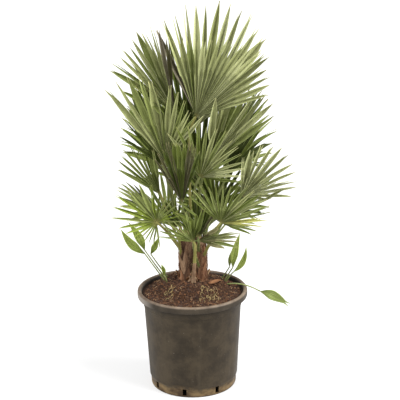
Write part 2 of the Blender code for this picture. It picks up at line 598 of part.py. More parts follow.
def blade_mesh(name, row, chosen, fat=0.0, plain_end=False):
    mid, normal, side = axes(row)
    n = row["leaflets"]
    hub = Vector(row["hub"])
    r = STALK_TIP + fat
    verts = [hub + normal * (BLADE_THICK * 0.7 + fat), hub - normal * (BLADE_THICK * 0.7 + fat)]
    end = hub - mid * 0.010
    stub = []
    for v in (end + normal * r, end - side * r, end - normal * r, end + side * r):
        stub.append(len(verts))
        verts.append(v)
    front_pt, left_pt, back_pt, right_pt = stub
    inner = []
    for j in (0, n):
        inner.append(len(verts))
        verts.append(valley(name, row, j, 0.008))
    edge = []
    for j in range(n + 1):
        edge.append(len(verts))
        verts.append(valley(name, row, j, split_radius(name, row, j)))
    faces = []
    fold = row.get("vee", 0.55)
    for i in range(n):
        if i in chosen:
            rings, tip = chosen[i]
        else:
            rings, tip = leaflet_rings(name, row, i, 0)
            rings = rings[:1]
        f0, b0 = len(verts), len(verts) + 1
        lift = (rings[0][1] - rings[0][3]).normalized() * fat
        verts += [rings[0][1] + lift, rings[0][3] - lift]
        e0, e1 = edge[i], edge[i + 1]
        if i == 0:
            faces += [(0, inner[0], f0), (inner[0], e0, f0), (inner[0], 1, b0), (e0, inner[0], b0)]
        else:
            faces += [(0, e0, f0), (e0, 1, b0)]
        if i == n - 1:
            faces += [(0, f0, inner[1]), (inner[1], f0, e1), (1, inner[1], b0), (inner[1], e1, b0)]
        else:
            faces += [(0, f0, e1), (1, e1, b0)]
        if i in chosen:
            index = [[e0, f0, e1, b0]]
            for ring in rings[1:]:
                index.append([len(verts) + k for k in range(4)])
                verts += list(ring)
            verts.append(tip)
            faces += ring_tris(verts, index, len(verts) - 1)
        else:
            faces += [(e0, b0, f0), (f0, b0, e1)]
    a, b = inner
    faces += [(a, 0, front_pt), (a, front_pt, left_pt), (a, left_pt, back_pt), (a, back_pt, 1)]
    faces += [(b, front_pt, 0), (b, right_pt, front_pt), (b, back_pt, right_pt), (b, 1, back_pt)]
    if not row.get("fused") or plain_end:
        faces += [(front_pt, right_pt, back_pt), (front_pt, back_pt, left_pt)]
        return verts, faces
    points = list(reversed(stalk_curve(row, 8)[:-1]))
    ring = [front_pt, left_pt, back_pt, right_pt]
    along, front = -mid, normal
    for k, p in enumerate(points):
        ahead = points[k + 1] - p if k + 1 < len(points) else p - points[k - 1]
        along = ahead.normalized()
        if k == len(points) - 1 and seat_on_top(row):
            along = Vector((0, 0, -1))
        front = (front - along * front.dot(along)).normalized()
        across = (-along).cross(front)
        r = STALK_TIP + (STALK_BASE - STALK_TIP) * ((k + 1) / len(points)) ** 1.2 + fat
        new = [len(verts) + i for i in range(4)]
        verts += [p + front * r, p - across * r, p - front * r, p + across * r]
        for i in range(4):
            n2 = (i + 1) % 4
            faces += [(ring[i], ring[n2], new[n2]), (ring[i], new[n2], new[i])]
        ring = new
    faces += [(ring[0], ring[3], ring[2]), (ring[0], ring[2], ring[1])]
    return verts, faces


def stalk_mesh(name, row, fat=0.0):
    points = stalk_curve(row, 8)
    start, rise = seat_point(row)
    on_top = seat_on_top(row)
    kind = row["seat"][0]
    base = row.get("base", 1.55 if kind == "soil" else 1.0) * STALK_BASE
    radii = [base + (STALK_TIP - base) * (k / 7) ** 0.8 + fat for k in range(8)]
    return tube(points, radii, 5, Vector((0, 0, 1)) if on_top else None, axes(row)[0])


def tree_of(verts, faces):
    return BVHTree.FromPolygons([tuple(v) for v in verts], [tuple(f) for f in faces], all_triangles=False)


def box_of(verts):
    return [min(v[k] for v in verts) for k in range(3)], [max(v[k] for v in verts) for k in range(3)]


def boxes_touch(a, b):
    return all(a[0][k] <= b[1][k] and b[0][k] <= a[1][k] for k in range(3))


class Placed:
    """Everything placed so far, for the crossing test."""

    def __init__(self):
        self.items = []

    def add(self, name, verts, faces):
        self.items.append((name, box_of(verts), tree_of(verts, faces)))

    def hits(self, verts, faces, skip=()):
        box, tree = box_of(verts), None
        for name, other_box, other in self.items:
            if name in skip or not boxes_touch(box, other_box):
                continue
            if tree is None:
                tree = tree_of(verts, faces)
            if other.overlap(tree):
                return name
        return None


def strap_points(row):
    foot = Vector((row["foot"][0], row["foot"][1], soil_height(*row["foot"]) - 0.008))
    bend, throat, belly, tip = (Vector(row[k]) for k in ("bend", "throat", "belly", "tip"))
    stalk = []
    for k in range(5):
        t = k / 5
        stalk.append(foot * (1 - t) ** 2 + bend * (2 * t * (1 - t)) + throat * t * t)
    blade = []
    bow = belly * 2 - (throat + tip) * 0.5
    for k in range(6):
        t = k / 5
        blade.append(throat * (1 - t) ** 2 + bow * (2 * t * (1 - t)) + tip * t * t)
    return stalk, blade


def strap_mesh(name, row, fat=0.0):
    stalk, blade = strap_points(row)
    pts = stalk + blade
    widths = [0.0020] * 5 + [0.0024] + [row["half"] * w for w in (0.62, 1.0, 0.86, 0.46)]
    length = (blade[0] - blade[-1]).length
    thin = max(0.0007, length * 0.006)
    thick = [0.0020] * 5 + [0.0016] + [thin * 1.1] * 4
    verts, rings = [], []
    face = math.radians(row["face"])
    want = Vector((math.sin(face), -math.cos(face), 0.35)).normalized()
    for k in range(len(pts) - 1):
        d = (pts[k + 1] - pts[max(k - 1, 0)]).normalized()
        nn = (want - d * want.dot(d)).normalized()
        w = d.cross(nn)
        h, t = widths[k] + fat, thick[k] + fat
        fold = 0.35 * max(0.0, h - 0.003)
        rings.append([len(verts) + j for j in range(4)])
        p = pts[k]
        verts += [p - w * h, p + nn * (t - fold), p + w * h, p - nn * (t + fold)]
    verts.append(pts[-1])
    faces = ring_tris(verts, rings, len(verts) - 1) + [tuple(reversed(rings[0]))]
    return verts, faces


def husk_mesh(fat=0.0):
    pts = [Vector(p) for p in HUSK["points"]]
    verts, rings = [], []
    for k, p in enumerate(pts):
        d = (pts[min(k + 1, len(pts) - 1)] - pts[max(k - 1, 0)]).normalized()
        up = (Vector((0, 0, 1)) - d * d.z).normalized()
        w = d.cross(up)
        h, t = HUSK["halves"][k] + fat, HUSK["thick"] + fat
        rings.append([len(verts) + j for j in range(4)])
        verts += [p - w * h + up * h * 0.5, p + up * t, p + w * h + up * h * 0.5, p - up * t]
    faces = [tuple(reversed(rings[0])), tuple(rings[-1])]
    for a, b in zip(rings[:-1], rings[1:]):
        for k in range(4):
            n = (k + 1) % 4
            faces += [(a[k], a[n], b[n]), (a[k], b[n], b[k])]
    return verts, faces


def build():
    make_pot()
    verts, faces = soil_mesh(0.0)
    solid("soil", verts, faces, SOIL_BROWN, 0.95)
    verts, faces = soil_mesh(GAP)
    soil_tool = cutter("soil_cutter", verts, faces)
    placed = Placed()
    placed.add("soil", verts, faces)
    stem_tools = {}
    for name, row in STEMS.items():
        verts, faces = make_stem(name, row)
        solid(name, verts, faces, BARK_BROWN, 0.9, place=(*row["foot"], MOUND_Z))
        verts, faces = make_stem(name, row, GAP)
        stem_tools[name] = cutter(name + "_cutter", verts, faces)
        placed.add(name, verts, faces)
    pot_top = lathe([(RIM_RADIUS - 0.014, POT_HEIGHT - 0.02), (RIM_RADIUS + 0.001, POT_HEIGHT - 0.025),
                     (RIM_RADIUS + 0.001, POT_HEIGHT + 0.001), (RIM_RADIUS - 0.014, POT_HEIGHT + 0.001)], 32)
    placed.add("pot", *pot_top)
    for name, row in FRONDS.items():
        kind = row["seat"][0]
        if not row.get("fused"):
            verts, faces = stalk_mesh(name, row)
            stalk = solid("stalk_" + name, verts, faces, STALK_GREEN, 0.5, place=seat_point(row)[0])
            if kind == "soil":
                cut(stalk, soil_tool)
            elif not seat_on_top(row):
                cut(stalk, stem_tools[kind])
        placed.add("stalk_" + name, *stalk_mesh(name, row, CLEAR * 0.5))
    verts, faces = husk_mesh()
    husk = solid("fallen_husk", verts, faces, HUSK_TAN, 0.85, place=HUSK["points"][0])
    cut(husk, soil_tool)
    placed.add("fallen_husk", *husk_mesh(CLEAR * 0.5))
    for name, row in STRAPS.items():
        verts, faces = strap_mesh(name, row)
        strap = solid(name, verts, faces, YOUNG_GREEN, 0.45, place=row["throat"])
        cut(strap, soil_tool)
        placed.add(name, *strap_mesh(name, row, CLEAR * 0.5))
    for name, row in FRONDS.items():
        placed.add("fan_" + name, *blade_core(name, row, CLEAR * 0.5))
    for name, row in FRONDS.items():
        chosen = {}
        new_items = []
        for i in range(row["leaflets"]):
            for trial in range(len(TRIALS)):
                rings, tip = leaflet_rings(name, row, i, trial, CLEAR * 0.5)
                verts, faces = loose_leaflet(rings, tip)
                if placed.hits(verts, faces, skip=("fan_" + name,)) is None:
                    chosen[i] = leaflet_rings(name, row, i, trial)
                    new_items.append((name, verts, faces))
                    break
        for item in new_items:
            placed.add(*item)
        verts, faces = blade_mesh(name, row, chosen)
        colour = BLADE_DARK if row.get("fused") or name.endswith("dark") else BLADE_GREEN
        if row.get("fused"):
            frond = solid("frond_" + name, verts, faces, colour, 0.5, place=row["hub"])
            if not seat_on_top(row):
                cut(frond, stem_tools[row["seat"][0]])
        else:
            solid("fan_" + name, verts, faces, colour, 0.5, place=row["hub"])


build()
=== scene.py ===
# Looks of the potted fan palm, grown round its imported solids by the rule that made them.
import math

import bmesh
import bpy
import numpy as np
from mathutils import Matrix, Vector, noise
from mathutils.bvhtree import BVHTree


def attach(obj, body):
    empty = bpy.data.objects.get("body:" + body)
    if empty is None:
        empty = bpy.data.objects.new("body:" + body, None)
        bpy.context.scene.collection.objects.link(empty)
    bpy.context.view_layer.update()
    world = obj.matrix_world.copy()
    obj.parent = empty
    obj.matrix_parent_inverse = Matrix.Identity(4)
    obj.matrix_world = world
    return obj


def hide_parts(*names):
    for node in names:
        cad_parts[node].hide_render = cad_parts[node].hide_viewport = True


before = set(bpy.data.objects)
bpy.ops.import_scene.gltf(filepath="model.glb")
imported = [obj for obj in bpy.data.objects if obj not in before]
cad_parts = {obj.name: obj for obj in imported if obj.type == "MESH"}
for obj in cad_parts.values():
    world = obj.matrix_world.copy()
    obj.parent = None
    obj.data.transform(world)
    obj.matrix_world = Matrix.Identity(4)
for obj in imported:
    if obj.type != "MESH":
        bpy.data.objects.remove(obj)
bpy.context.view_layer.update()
scene = bpy.context.scene

# Driving sizes of the source
POT_HEIGHT = 0.320
RIM_RADIUS = 0.1755
WALL_TOP_RADIUS = 0.1575
FOOT_RADIUS = 0.1370
WALL = 0.0032
LIP_DROP = 0.024
FOOT_BAND = 0.030
FLOOR = 0.004
SLOTS = 8
SLOT_WIDTH = 0.013
SLOT_HEIGHT = 0.022
POT_SIDES = 48
SOIL_EDGE_Z = 0.306
MOUND_Z = 0.342
MOUND_FLAT = 0.062
MOUND_FOOT = 0.146
MOUND_Y = 0.028
GAP = 0.0003
BLADE_THICK = 0.0036
STALK_TIP = 0.0036
STALK_BASE = 0.0048
CLEAR = 0.0012

# Stems: foot, top, foot radius, top radius, number of old leaf bases
STEMS = {
    "stem_main": dict(foot=(-0.017, 0.026), top=(-0.019, 0.028, 0.490), r0=0.0205, r1=0.0195, boots=13),
    "stem_right": dict(foot=(0.0300, 0.014), top=(0.0315, 0.012, 0.465), r0=0.0140, r1=0.0145, boots=9),
    "stem_back": dict(foot=(0.012, 0.072), top=(0.016, 0.078, 0.480), r0=0.0190, r1=0.0175, boots=10),
}

# Fronds: hub of the blade; aim = angle of its middle above +X, lean = towards -Y, turn = about the
# middle line; spread, length, leaflets; reach = leaflet lengths from the first side to the other;
# split = part joined at the hub; seat = stem, bearing round it and height where the stalk starts.
FRONDS = {
    "top_front": dict(hub=(0.018, -0.050, 0.888), aim=63, lean=6, turn=0, spread=86, length=0.298,
        leaflets=17, reach=(0.85, 0.86, 0.84, 0.85, 0.87, 0.90, 0.96, 0.99, 0.92, 0.84, 0.78), split=0.56,
        droop=0.03, shape=(0.08, 2.3), seat=("stem_main", -45, 0.500)),
    "top_left": dict(hub=(-0.044, 0.004, 0.890), aim=115.5, lean=2, turn=-14, spread=53, length=0.290,
        leaflets=11, reach=(0.80, 0.84, 0.87, 0.88, 0.98, 0.99, 0.95, 0.92), split=0.42, droop=0.06,
        shape=(0.20, 3.0),
        seat=("stem_main", 90, 0.500, 0.0)),
    "top_behind": dict(hub=(0.032, 0.050, 0.845), aim=78.5, lean=-4, turn=4, spread=76, length=0.392,
        leaflets=14, reach=(0.84, 0.93, 0.92, 0.96, 0.95, 0.96, 1.00, 0.94, 0.87, 0.76, 0.66), split=0.50,
        droop=0.05, shape=(0.08, 2.0), seat=("stem_main", 35, 0.500)),
    "upper_left": dict(hub=(-0.075, -0.100, 0.764), aim=88, lean=10, turn=-6, spread=72, length=0.292,
        leaflets=12, reach=(1.02, 1.06, 0.98, 0.90, 0.78, 0.62, 0.76), split=0.40, droop=0.04,
        shape=(0.16, 2.3), seat=("stem_main", 210, 0.500)),
    "left_dark": dict(hub=(-0.084, -0.030, 0.732), aim=110, lean=0, turn=-20, spread=66, length=0.270,
        leaflets=9, reach=(0.60, 0.62, 0.80, 1.02, 0.95, 0.90), split=0.36, droop=0.06,
        seat=("stem_main", 157, 0.500)),
    "centre_front": dict(hub=(0.028, -0.112, 0.717), aim=59, lean=14, turn=0, spread=124, length=0.190,
        leaflets=14, reach=(1.00, 1.00, 0.97, 0.97, 0.88, 0.80, 0.76, 0.76), split=0.34, droop=0.04,
        shape=(0.20, 2.4), seat=("stem_right", 250, 0.475)),
    "right_pale": dict(hub=(0.050, -0.020, 0.722), aim=64, lean=2, turn=8, spread=46, length=0.300,
        leaflets=9, reach=(0.78, 0.82, 0.92, 1.04, 0.98, 0.86), split=0.46, droop=0.04,
        seat=("stem_right", 120, 0.475)),
    "right_dark": dict(hub=(0.120, 0.034, 0.690), aim=62, lean=0, turn=34, spread=84, length=0.185,
        leaflets=10, reach=(1.00, 1.05, 1.00, 0.86, 0.74, 0.62), split=0.40, droop=0.06,
        seat=("stem_right", 30, 0.475)),
    "right_out": dict(hub=(0.156, -0.010, 0.624), aim=43, lean=8, turn=8, spread=98, length=0.200,
        leaflets=12, reach=(0.70, 1.00, 1.06, 1.02, 0.94, 0.84, 0.80), split=0.34, droop=0.05,
        shape=(0.16, 3.4), seat=("stem_right", -22, 0.432)),
    "lower_right": dict(hub=(0.089, -0.082, 0.562), aim=56, lean=14, turn=6, spread=150, length=0.176,
        leaflets=18, reach=(0.88, 0.94, 0.84, 0.84, 0.97, 1.00, 1.00, 0.90, 0.72, 0.54), split=0.30,
        shape=(0.18, 2.6), droop=0.04, seat=("stem_right", -62, 0.415)),
    "lower_left": dict(hub=(-0.107, -0.084, 0.568), aim=138, lean=14, turn=4, spread=284, length=0.165,
        leaflets=21, reach=(0.50, 0.42, 0.44, 0.58, 0.86, 1.03, 0.88, 0.62, 0.52, 0.46, 0.42), split=0.26,
        shape=(0.15, 2.6), droop=0.03, seat=("stem_main", 200, 0.430)),
    "left_out": dict(hub=(-0.096, 0.004, 0.630), aim=117, lean=2, turn=-10, spread=54, length=0.204,
        leaflets=9, reach=(0.80, 0.88, 0.98, 0.98, 0.90, 0.80), split=0.38, droop=0.05,
        seat=("stem_main", 172, 0.452)),
    "centre_folded": dict(hub=(-0.026, -0.122, 0.640), aim=93, lean=3, turn=-12, spread=50, length=0.205,
        leaflets=10, reach=(0.80, 0.92, 1.00, 1.00, 0.95), split=0.50, droop=0.02, shape=(0.12, 2.6),
        seat=("stem_main", 262, 0.500)),
    "front_low": dict(hub=(0.006, -0.078, 0.500), aim=118, lean=14, turn=0, spread=88, length=0.146,
        leaflets=11, reach=(0.88, 0.92, 0.80, 0.64, 0.80, 1.25, 0.90), split=0.30, droop=0.02,
        shape=(0.16, 2.6), bow=0.04, seat=("soil", 0.004, -0.012)),
    "low_left": dict(hub=(-0.046, -0.030, 0.530), aim=110, lean=2, turn=0, spread=84, length=0.118,
        leaflets=9, reach=(0.90, 1.00, 0.95, 0.80), split=0.36, droop=0.02, shape=(0.15, 2.6),
        seat=("stem_main", 214, 0.412)),
    "low_right": dict(hub=(0.017, -0.050, 0.495), aim=15, lean=12, turn=0, spread=50, length=0.138,
        leaflets=8, reach=(0.62, 0.92, 1.00, 1.00, 1.00, 0.50), split=0.46, droop=0.04, shape=(0.16, 2.8),
        bow=0.05, seat=("stem_right", -120, 0.375)),
    "centre_behind": dict(hub=(0.030, 0.084, 0.665), aim=84, lean=-3, turn=0, spread=92, length=0.285,
        leaflets=13, reach=(0.90, 0.95, 1.00, 1.00, 0.95, 0.90), split=0.44, droop=0.05, fused=True,
        seat=("stem_back", -88, 0.490)),
    "front_mid": dict(hub=(0.020, -0.065, 0.509), aim=97, lean=0, turn=0, spread=84, length=0.165,
        leaflets=11, reach=(0.85, 0.95, 1.00, 0.92, 1.00, 0.95, 0.85), split=0.32, droop=0.03, fused=True,
        shape=(0.16, 2.8), seat=("stem_right", 235, 0.430)),
    "centre_low": dict(hub=(0.041, 0.170, 0.457), aim=93, lean=0, turn=0, spread=100, length=0.165,
        leaflets=13, reach=(0.85, 0.95, 1.00, 0.90, 1.00, 0.95, 0.85), split=0.34, droop=0.03, fused=True,
        seat=("stem_back", 75, 0.400)),
    "right_inner": dict(hub=(0.078, 0.050, 0.566), aim=102, lean=0, turn=10, spread=150, length=0.165,
        leaflets=16, reach=(0.80, 0.95, 1.00, 1.00, 0.85), split=0.42, droop=0.05, fused=True,
        seat=("stem_back", -62, 0.460)),
    "back_high": dict(hub=(-0.010, 0.130, 0.790), aim=92, lean=-18, turn=0, spread=110, length=0.310,
        leaflets=13, reach=(0.75, 0.95, 1.00, 1.00, 0.95, 0.75), split=0.40, droop=0.10, fused=True,
        seat=("stem_back", 92, 0.490)),
    "back_left": dict(hub=(-0.052, 0.142, 0.676), aim=110, lean=-20, turn=-35, spread=110, length=0.265,
        leaflets=12, reach=(0.70, 0.92, 1.00, 1.00, 0.80), split=0.38, droop=0.12, fused=True,
        seat=("stem_back", 178, 0.490)),
    "back_right": dict(hub=(0.105, 0.132, 0.665), aim=60, lean=-22, turn=45, spread=110, length=0.255,
        leaflets=12, reach=(0.80, 1.00, 1.00, 0.92, 0.70), split=0.38, droop=0.12, fused=True,
        seat=("stem_back", -10, 0.490)),
    "side_left": dict(hub=(-0.092, 0.080, 0.742), aim=104, lean=-4, turn=-66, spread=116, length=0.220,
        leaflets=12, reach=(0.75, 0.95, 1.00, 0.95, 0.75), split=0.38, droop=0.10, fused=True,
        seat=("stem_main", 112, 0.455)),
    "side_right": dict(hub=(0.118, 0.084, 0.735), aim=70, lean=-6, turn=66, spread=116, length=0.230,
        leaflets=12, reach=(0.75, 0.95, 1.00, 0.95, 0.75), split=0.38, droop=0.10, fused=True,
        seat=("stem_back", -22, 0.440)),
    "back_mid": dict(hub=(0.012, 0.190, 0.600), aim=90, lean=-44, turn=0, spread=150, length=0.235,
        leaflets=15, reach=(0.70, 0.90, 1.00, 1.00, 0.90, 0.70), split=0.34, droop=0.12, fused=True,
        seat=("stem_back", 95, 0.455)),
    "side_left_low": dict(hub=(-0.112, 0.080, 0.535), aim=138, lean=-18, turn=-50, spread=150, length=0.160,
        leaflets=12, reach=(0.70, 0.90, 1.00, 1.00, 0.80), split=0.34, droop=0.12, fused=True,
        seat=("stem_main", 140, 0.420)),
    "side_right_low": dict(hub=(0.146, 0.078, 0.548), aim=44, lean=-18, turn=50, spread=150, length=0.165,
        leaflets=12, reach=(0.80, 1.00, 1.00, 0.90, 0.70), split=0.34, droop=0.12, fused=True,
        seat=("stem_right", 25, 0.425)),
    "back_low_left": dict(hub=(-0.075, 0.165, 0.490), aim=128, lean=-46, turn=-14, spread=140, length=0.165,
        leaflets=12, reach=(0.70, 0.90, 1.00, 1.00, 0.80), split=0.34, droop=0.12, fused=True,
        seat=("stem_back", 140, 0.435)),
    "back_low_right": dict(hub=(0.100, 0.162, 0.490), aim=52, lean=-46, turn=14, spread=140, length=0.162,
        leaflets=12, reach=(0.80, 1.00, 1.00, 0.90, 0.70), split=0.34, droop=0.12, fused=True,
        seat=("stem_back", 30, 0.435)),
}

# Bent leaflets: frond, leaflet number, where it bends, bend across the blade and towards the front
KINKS = {
    ("upper_left", 5): (0.66, 40, 10),
    ("right_out", 11): (0.58, 42, -5),
    ("front_low", 8): (0.66, 58, 28),
    ("front_low", 9): (0.62, 68, 32),
}

# Young strap leaves: foot on the soil, middle of the stalk, start of the blade, tip, widest half
STRAPS = {
    "young_left_outer": dict(foot=(-0.086, 0.040), bend=(-0.112, 0.004, 0.380), throat=(-0.149, 0.0, 0.438),
        belly=(-0.189, -0.012, 0.474), tip=(-0.222, -0.010, 0.525), half=0.0140, face=-20),
    "young_left_upper": dict(foot=(-0.081, 0.050), bend=(-0.112, 0.018, 0.384), throat=(-0.150, 0.014, 0.446),
        belly=(-0.167, 0.016, 0.488), tip=(-0.200, 0.026, 0.536), half=0.0135, face=-12),
    "young_left_inner": dict(foot=(-0.075, 0.060), bend=(-0.108, 0.036, 0.386), throat=(-0.131, 0.034, 0.424),
        belly=(-0.117, 0.034, 0.450), tip=(-0.107, 0.036, 0.477), half=0.0100, face=14),
    "young_left_small": dict(foot=(-0.082, 0.016), bend=(-0.080, 0.0, 0.350), throat=(-0.089, -0.004, 0.365),
        belly=(-0.090, -0.006, 0.384), tip=(-0.098, -0.004, 0.403), half=0.0062, face=10),
    "young_right_outer": dict(foot=(0.104, 0.044), bend=(0.118, 0.034, 0.344), throat=(0.133, 0.026, 0.362),
        belly=(0.163, 0.022, 0.398), tip=(0.173, 0.018, 0.452), half=0.0095, face=14),
    "young_right_tall": dict(foot=(0.100, 0.054), bend=(0.116, 0.046, 0.346), throat=(0.131, 0.040, 0.372),
        belly=(0.138, 0.036, 0.426), tip=(0.155, 0.040, 0.490), half=0.0118, face=4),
    "young_right_inner": dict(foot=(0.092, 0.066), bend=(0.108, 0.062, 0.344), throat=(0.121, 0.060, 0.366),
        belly=(0.123, 0.057, 0.396), tip=(0.130, 0.058, 0.426), half=0.0058, face=-8),
    "young_trailing": dict(foot=(0.104, 0.034), bend=(0.158, 0.008, 0.338), throat=(0.217, -0.030, 0.3145),
        belly=(0.259, -0.042, 0.303), tip=(0.306, -0.054, 0.276), half=0.0152, face=6),
}

# Shed leaf base on the soil: middle line, half widths and thickness
HUSK = dict(points=((0.055, -0.031, 0.3412), (0.068, -0.019, 0.3402), (0.082, 0.001, 0.3384),
                    (0.094, 0.019, 0.3342)), halves=(0.0080, 0.0110, 0.0090, 0.0035), thick=0.0026)


# The rule of the source: where each leaflet goes, and which bend keeps it clear of the rest
def wobble(name, index, channel):
    seed = sum((k + 1) * ord(c) for k, c in enumerate(name))
    x = math.sin(seed * 12.9898 + index * 78.233 + channel * 37.719) * 43758.5453
    return 2.0 * (x - math.floor(x)) - 1.0


def smooth_mix(values, t):
    t = min(max(t, 0.0), 1.0) * (len(values) - 1)
    k = min(int(t), len(values) - 2)
    u = t - k
    return values[k] * (1 - u) + values[k + 1] * u


def bezier(a, b, c, d, t):
    s = 1 - t
    return a * s**3 + b * (3 * s * s * t) + c * (3 * s * t * t) + d * t**3


def lathe(profile, sides, wave=None):
    verts, faces = [], []
    rings = []
    for r, z in profile:
        if r < 1e-9:
            rings.append([len(verts)])
            verts.append(Vector((0, 0, z)))
            continue
        rings.append([len(verts) + k for k in range(sides)])
        for k in range(sides):
            a = 2 * math.pi * k / sides
            dz = wave(r, a) if wave else 0.0
            verts.append(Vector((r * math.cos(a), r * math.sin(a), z + dz)))
    for lower, upper in zip(rings[:-1], rings[1:]):
        for k in range(sides):
            n = (k + 1) % sides
            if len(lower) == 1:
                faces.append((lower[0], upper[k], upper[n]))
            elif len(upper) == 1:
                faces.append((lower[k], lower[n], upper[0]))
            else:
                faces.append((lower[k], lower[n], upper[n], upper[k]))
    return verts, faces


def tube(points, radii, sides, first_normal=None, last_normal=None):
    """Closed tube with flat ends; the end rings are square to the first and last direction."""
    verts, faces, rings = [], [], []
    count = len(points)
    side = None
    for k, p in enumerate(points):
        if k == 0:
            t = (first_normal or (points[1] - points[0])).normalized()
        elif k == count - 1:
            t = (last_normal or (points[k] - points[k - 1])).normalized()
        else:
            t = (points[k + 1] - points[k - 1]).normalized()
        if side is None:
            side = t.cross(Vector((0.31, 1.0, 0.17))).normalized()
        side = (side - t * side.dot(t)).normalized()
        other = t.cross(side)
        ring = []
        for j in range(sides):
            a = 2 * math.pi * j / sides
            ring.append(len(verts))
            verts.append(p + (side * math.cos(a) + other * math.sin(a)) * radii[k])
        rings.append(ring)
    for a, b in zip(rings[:-1], rings[1:]):
        for j in range(sides):
            n = (j + 1) % sides
            faces.append((a[j], a[n], b[n], b[j]))
    faces.append(tuple(reversed(rings[0])))
    faces.append(tuple(rings[-1]))
    return verts, faces


def soil_height(x, y):
    r = math.hypot(x, y - MOUND_Y)
    t = min(max((r - MOUND_FLAT) / (MOUND_FOOT - MOUND_FLAT), 0.0), 1.0)
    ease = 0.5 + 0.5 * math.cos(math.pi * t)
    return SOIL_EDGE_Z + (MOUND_Z - SOIL_EDGE_Z) * ease


def soil_mesh(lift):
    band = FOOT_RADIUS + 0.0012
    sides = POT_SIDES
    lip_z = POT_HEIGHT - LIP_DROP
    inner = [(band - WALL - GAP, FOOT_BAND), (WALL_TOP_RADIUS - WALL - GAP, lip_z - 0.004)]
    edge_r = WALL_TOP_RADIUS - WALL + 0.0025 - GAP
    verts, rings = [], []
    for r, z in [(FOOT_RADIUS - WALL - 0.002 - GAP, FLOOR + GAP)] + inner + [(edge_r, SOIL_EDGE_Z)]:
        rings.append([len(verts) + k for k in range(sides)])
        for k in range(sides):
            a = 2 * math.pi * k / sides
            verts.append(Vector((r * math.cos(a), r * math.sin(a), z)))
    steps = (0.0, 0.2, 0.4, 0.6, 0.8)
    for s in steps:
        rings.append([len(verts) + k for k in range(sides)])
        for k in range(sides):
            a = 2 * math.pi * k / sides
            far_x, far_y = edge_r * 0.93 * math.cos(a), edge_r * 0.93 * math.sin(a)
            near_x, near_y = MOUND_FLAT * math.cos(a), MOUND_Y + MOUND_FLAT * math.sin(a)
            x, y = far_x + (near_x - far_x) * s, far_y + (near_y - far_y) * s
            verts.append(Vector((x, y, soil_height(x, y))))
    rings.append([len(verts) + k for k in range(sides)])
    for k in range(sides):
        a = 2 * math.pi * k / sides
        verts.append(Vector((MOUND_FLAT * math.cos(a), MOUND_Y + MOUND_FLAT * math.sin(a), MOUND_Z)))
    faces = [tuple(reversed(rings[0])), tuple(rings[-1])]
    for a, b in zip(rings[:-1], rings[1:]):
        for k in range(sides):
            n = (k + 1) % sides
            faces.append((a[k], a[n], b[n]))
            faces.append((a[k], b[n], b[k]))
    return [v + Vector((0, 0, lift)) for v in verts], faces


def stem_radius(name, row, a, t):
    r = row["r0"] + (row["r1"] - row["r0"]) * min(t * 1.6, 1.0) + 0.004 * max(0.0, 0.16 - t) / 0.16
    height = row["top"][2] - MOUND_Z
    for k in range(row["boots"]):
        at_z = (0.22 + 0.72 * (k + 0.5) / row["boots"])
        at_a = k * 2.39996 + (0.6 if name == "stem_main" else 0.2)
        da = math.atan2(math.sin(a - at_a), math.cos(a - at_a))
        below = (at_z - t) * height
        if abs(da) < 0.75 and 0.0 <= below < 0.040:
            r += 0.0050 * (1 - (abs(da) / 0.75) ** 2) * (1 - below / 0.040)
    return r


def make_stem(name, row, grow=0.0):
    sides, levels = 16, 13
    foot = Vector((row["foot"][0], row["foot"][1], MOUND_Z + GAP))
    top = Vector(row["top"])
    verts, rings = [], []
    for k in range(levels):
        t = k / (levels - 1)
        c = foot.lerp(top, t)
        if grow:
            c = c + Vector((0, 0, GAP * (1 if k == levels - 1 else 0)))
        rings.append([len(verts) + j for j in range(sides)])
        for j in range(sides):
            a = 2 * math.pi * j / sides + 0.11 * k
            r = stem_radius(name, row, a, t) + grow
            verts.append(Vector((c.x + r * math.cos(a), c.y + r * math.sin(a), c.z)))
    faces = [tuple(reversed(rings[0])), tuple(rings[-1])]
    for a, b in zip(rings[:-1], rings[1:]):
        for j in range(sides):
            n = (j + 1) % sides
            faces.append((a[j], a[n], b[n]))
            faces.append((a[j], b[n], b[j]))
    return verts, faces


def axes(row):
    aim, lean, turn = (math.radians(row[k]) for k in ("aim", "lean", "turn"))
    mid = Vector((math.cos(lean) * math.cos(aim), -math.sin(lean), math.cos(lean) * math.sin(aim)))
    front = Vector((0, -1, 0))
    normal = (front - mid * mid.dot(front)).normalized()
    normal = Matrix.Rotation(turn, 3, mid) @ normal
    return mid, normal, mid.cross(normal)


def seat_point(row):
    kind = row["seat"][0]
    if kind == "soil":
        return Vector((row["seat"][1], row["seat"][2], MOUND_Z - 0.012)), Vector((0, -0.25, 1)).normalized()
    stem = STEMS[kind]
    a = math.radians(row["seat"][1])
    out = Vector((math.cos(a), math.sin(a), 0))
    level = row["seat"][2]
    top = Vector(stem["top"])
    if level > top.z:
        ring = row["seat"][3] if len(row["seat"]) > 3 else 0.66
        start = top + out * (stem["r1"] * ring) + Vector((0, 0, GAP))
        return start, (out * 0.22 + Vector((0, 0, 1))).normalized()
    foot = Vector((stem["foot"][0], stem["foot"][1], MOUND_Z))
    c = foot.lerp(top, (level - MOUND_Z) / (top.z - MOUND_Z))
    return c + out * (stem["r1"] * 0.45), (out * 0.75 + Vector((0, 0, 1))).normalized()


def seat_on_top(row):
    kind = row["seat"][0]
    return kind != "soil" and row["seat"][2] > STEMS[kind]["top"][2]


def stalk_curve(row, count):
    mid, normal, side = axes(row)
    start, rise = seat_point(row)
    end = Vector(row["hub"]) - mid * (0.010 + GAP)
    d = (end - start).length
    low, high = start + rise * d * 0.34, end - mid * d * row.get("bow", 0.20)
    return [bezier(start, low, high, end, k / (count - 1)) for k in range(count)]


def sides_of(row):
    return 0.5 * math.radians(row["spread"])


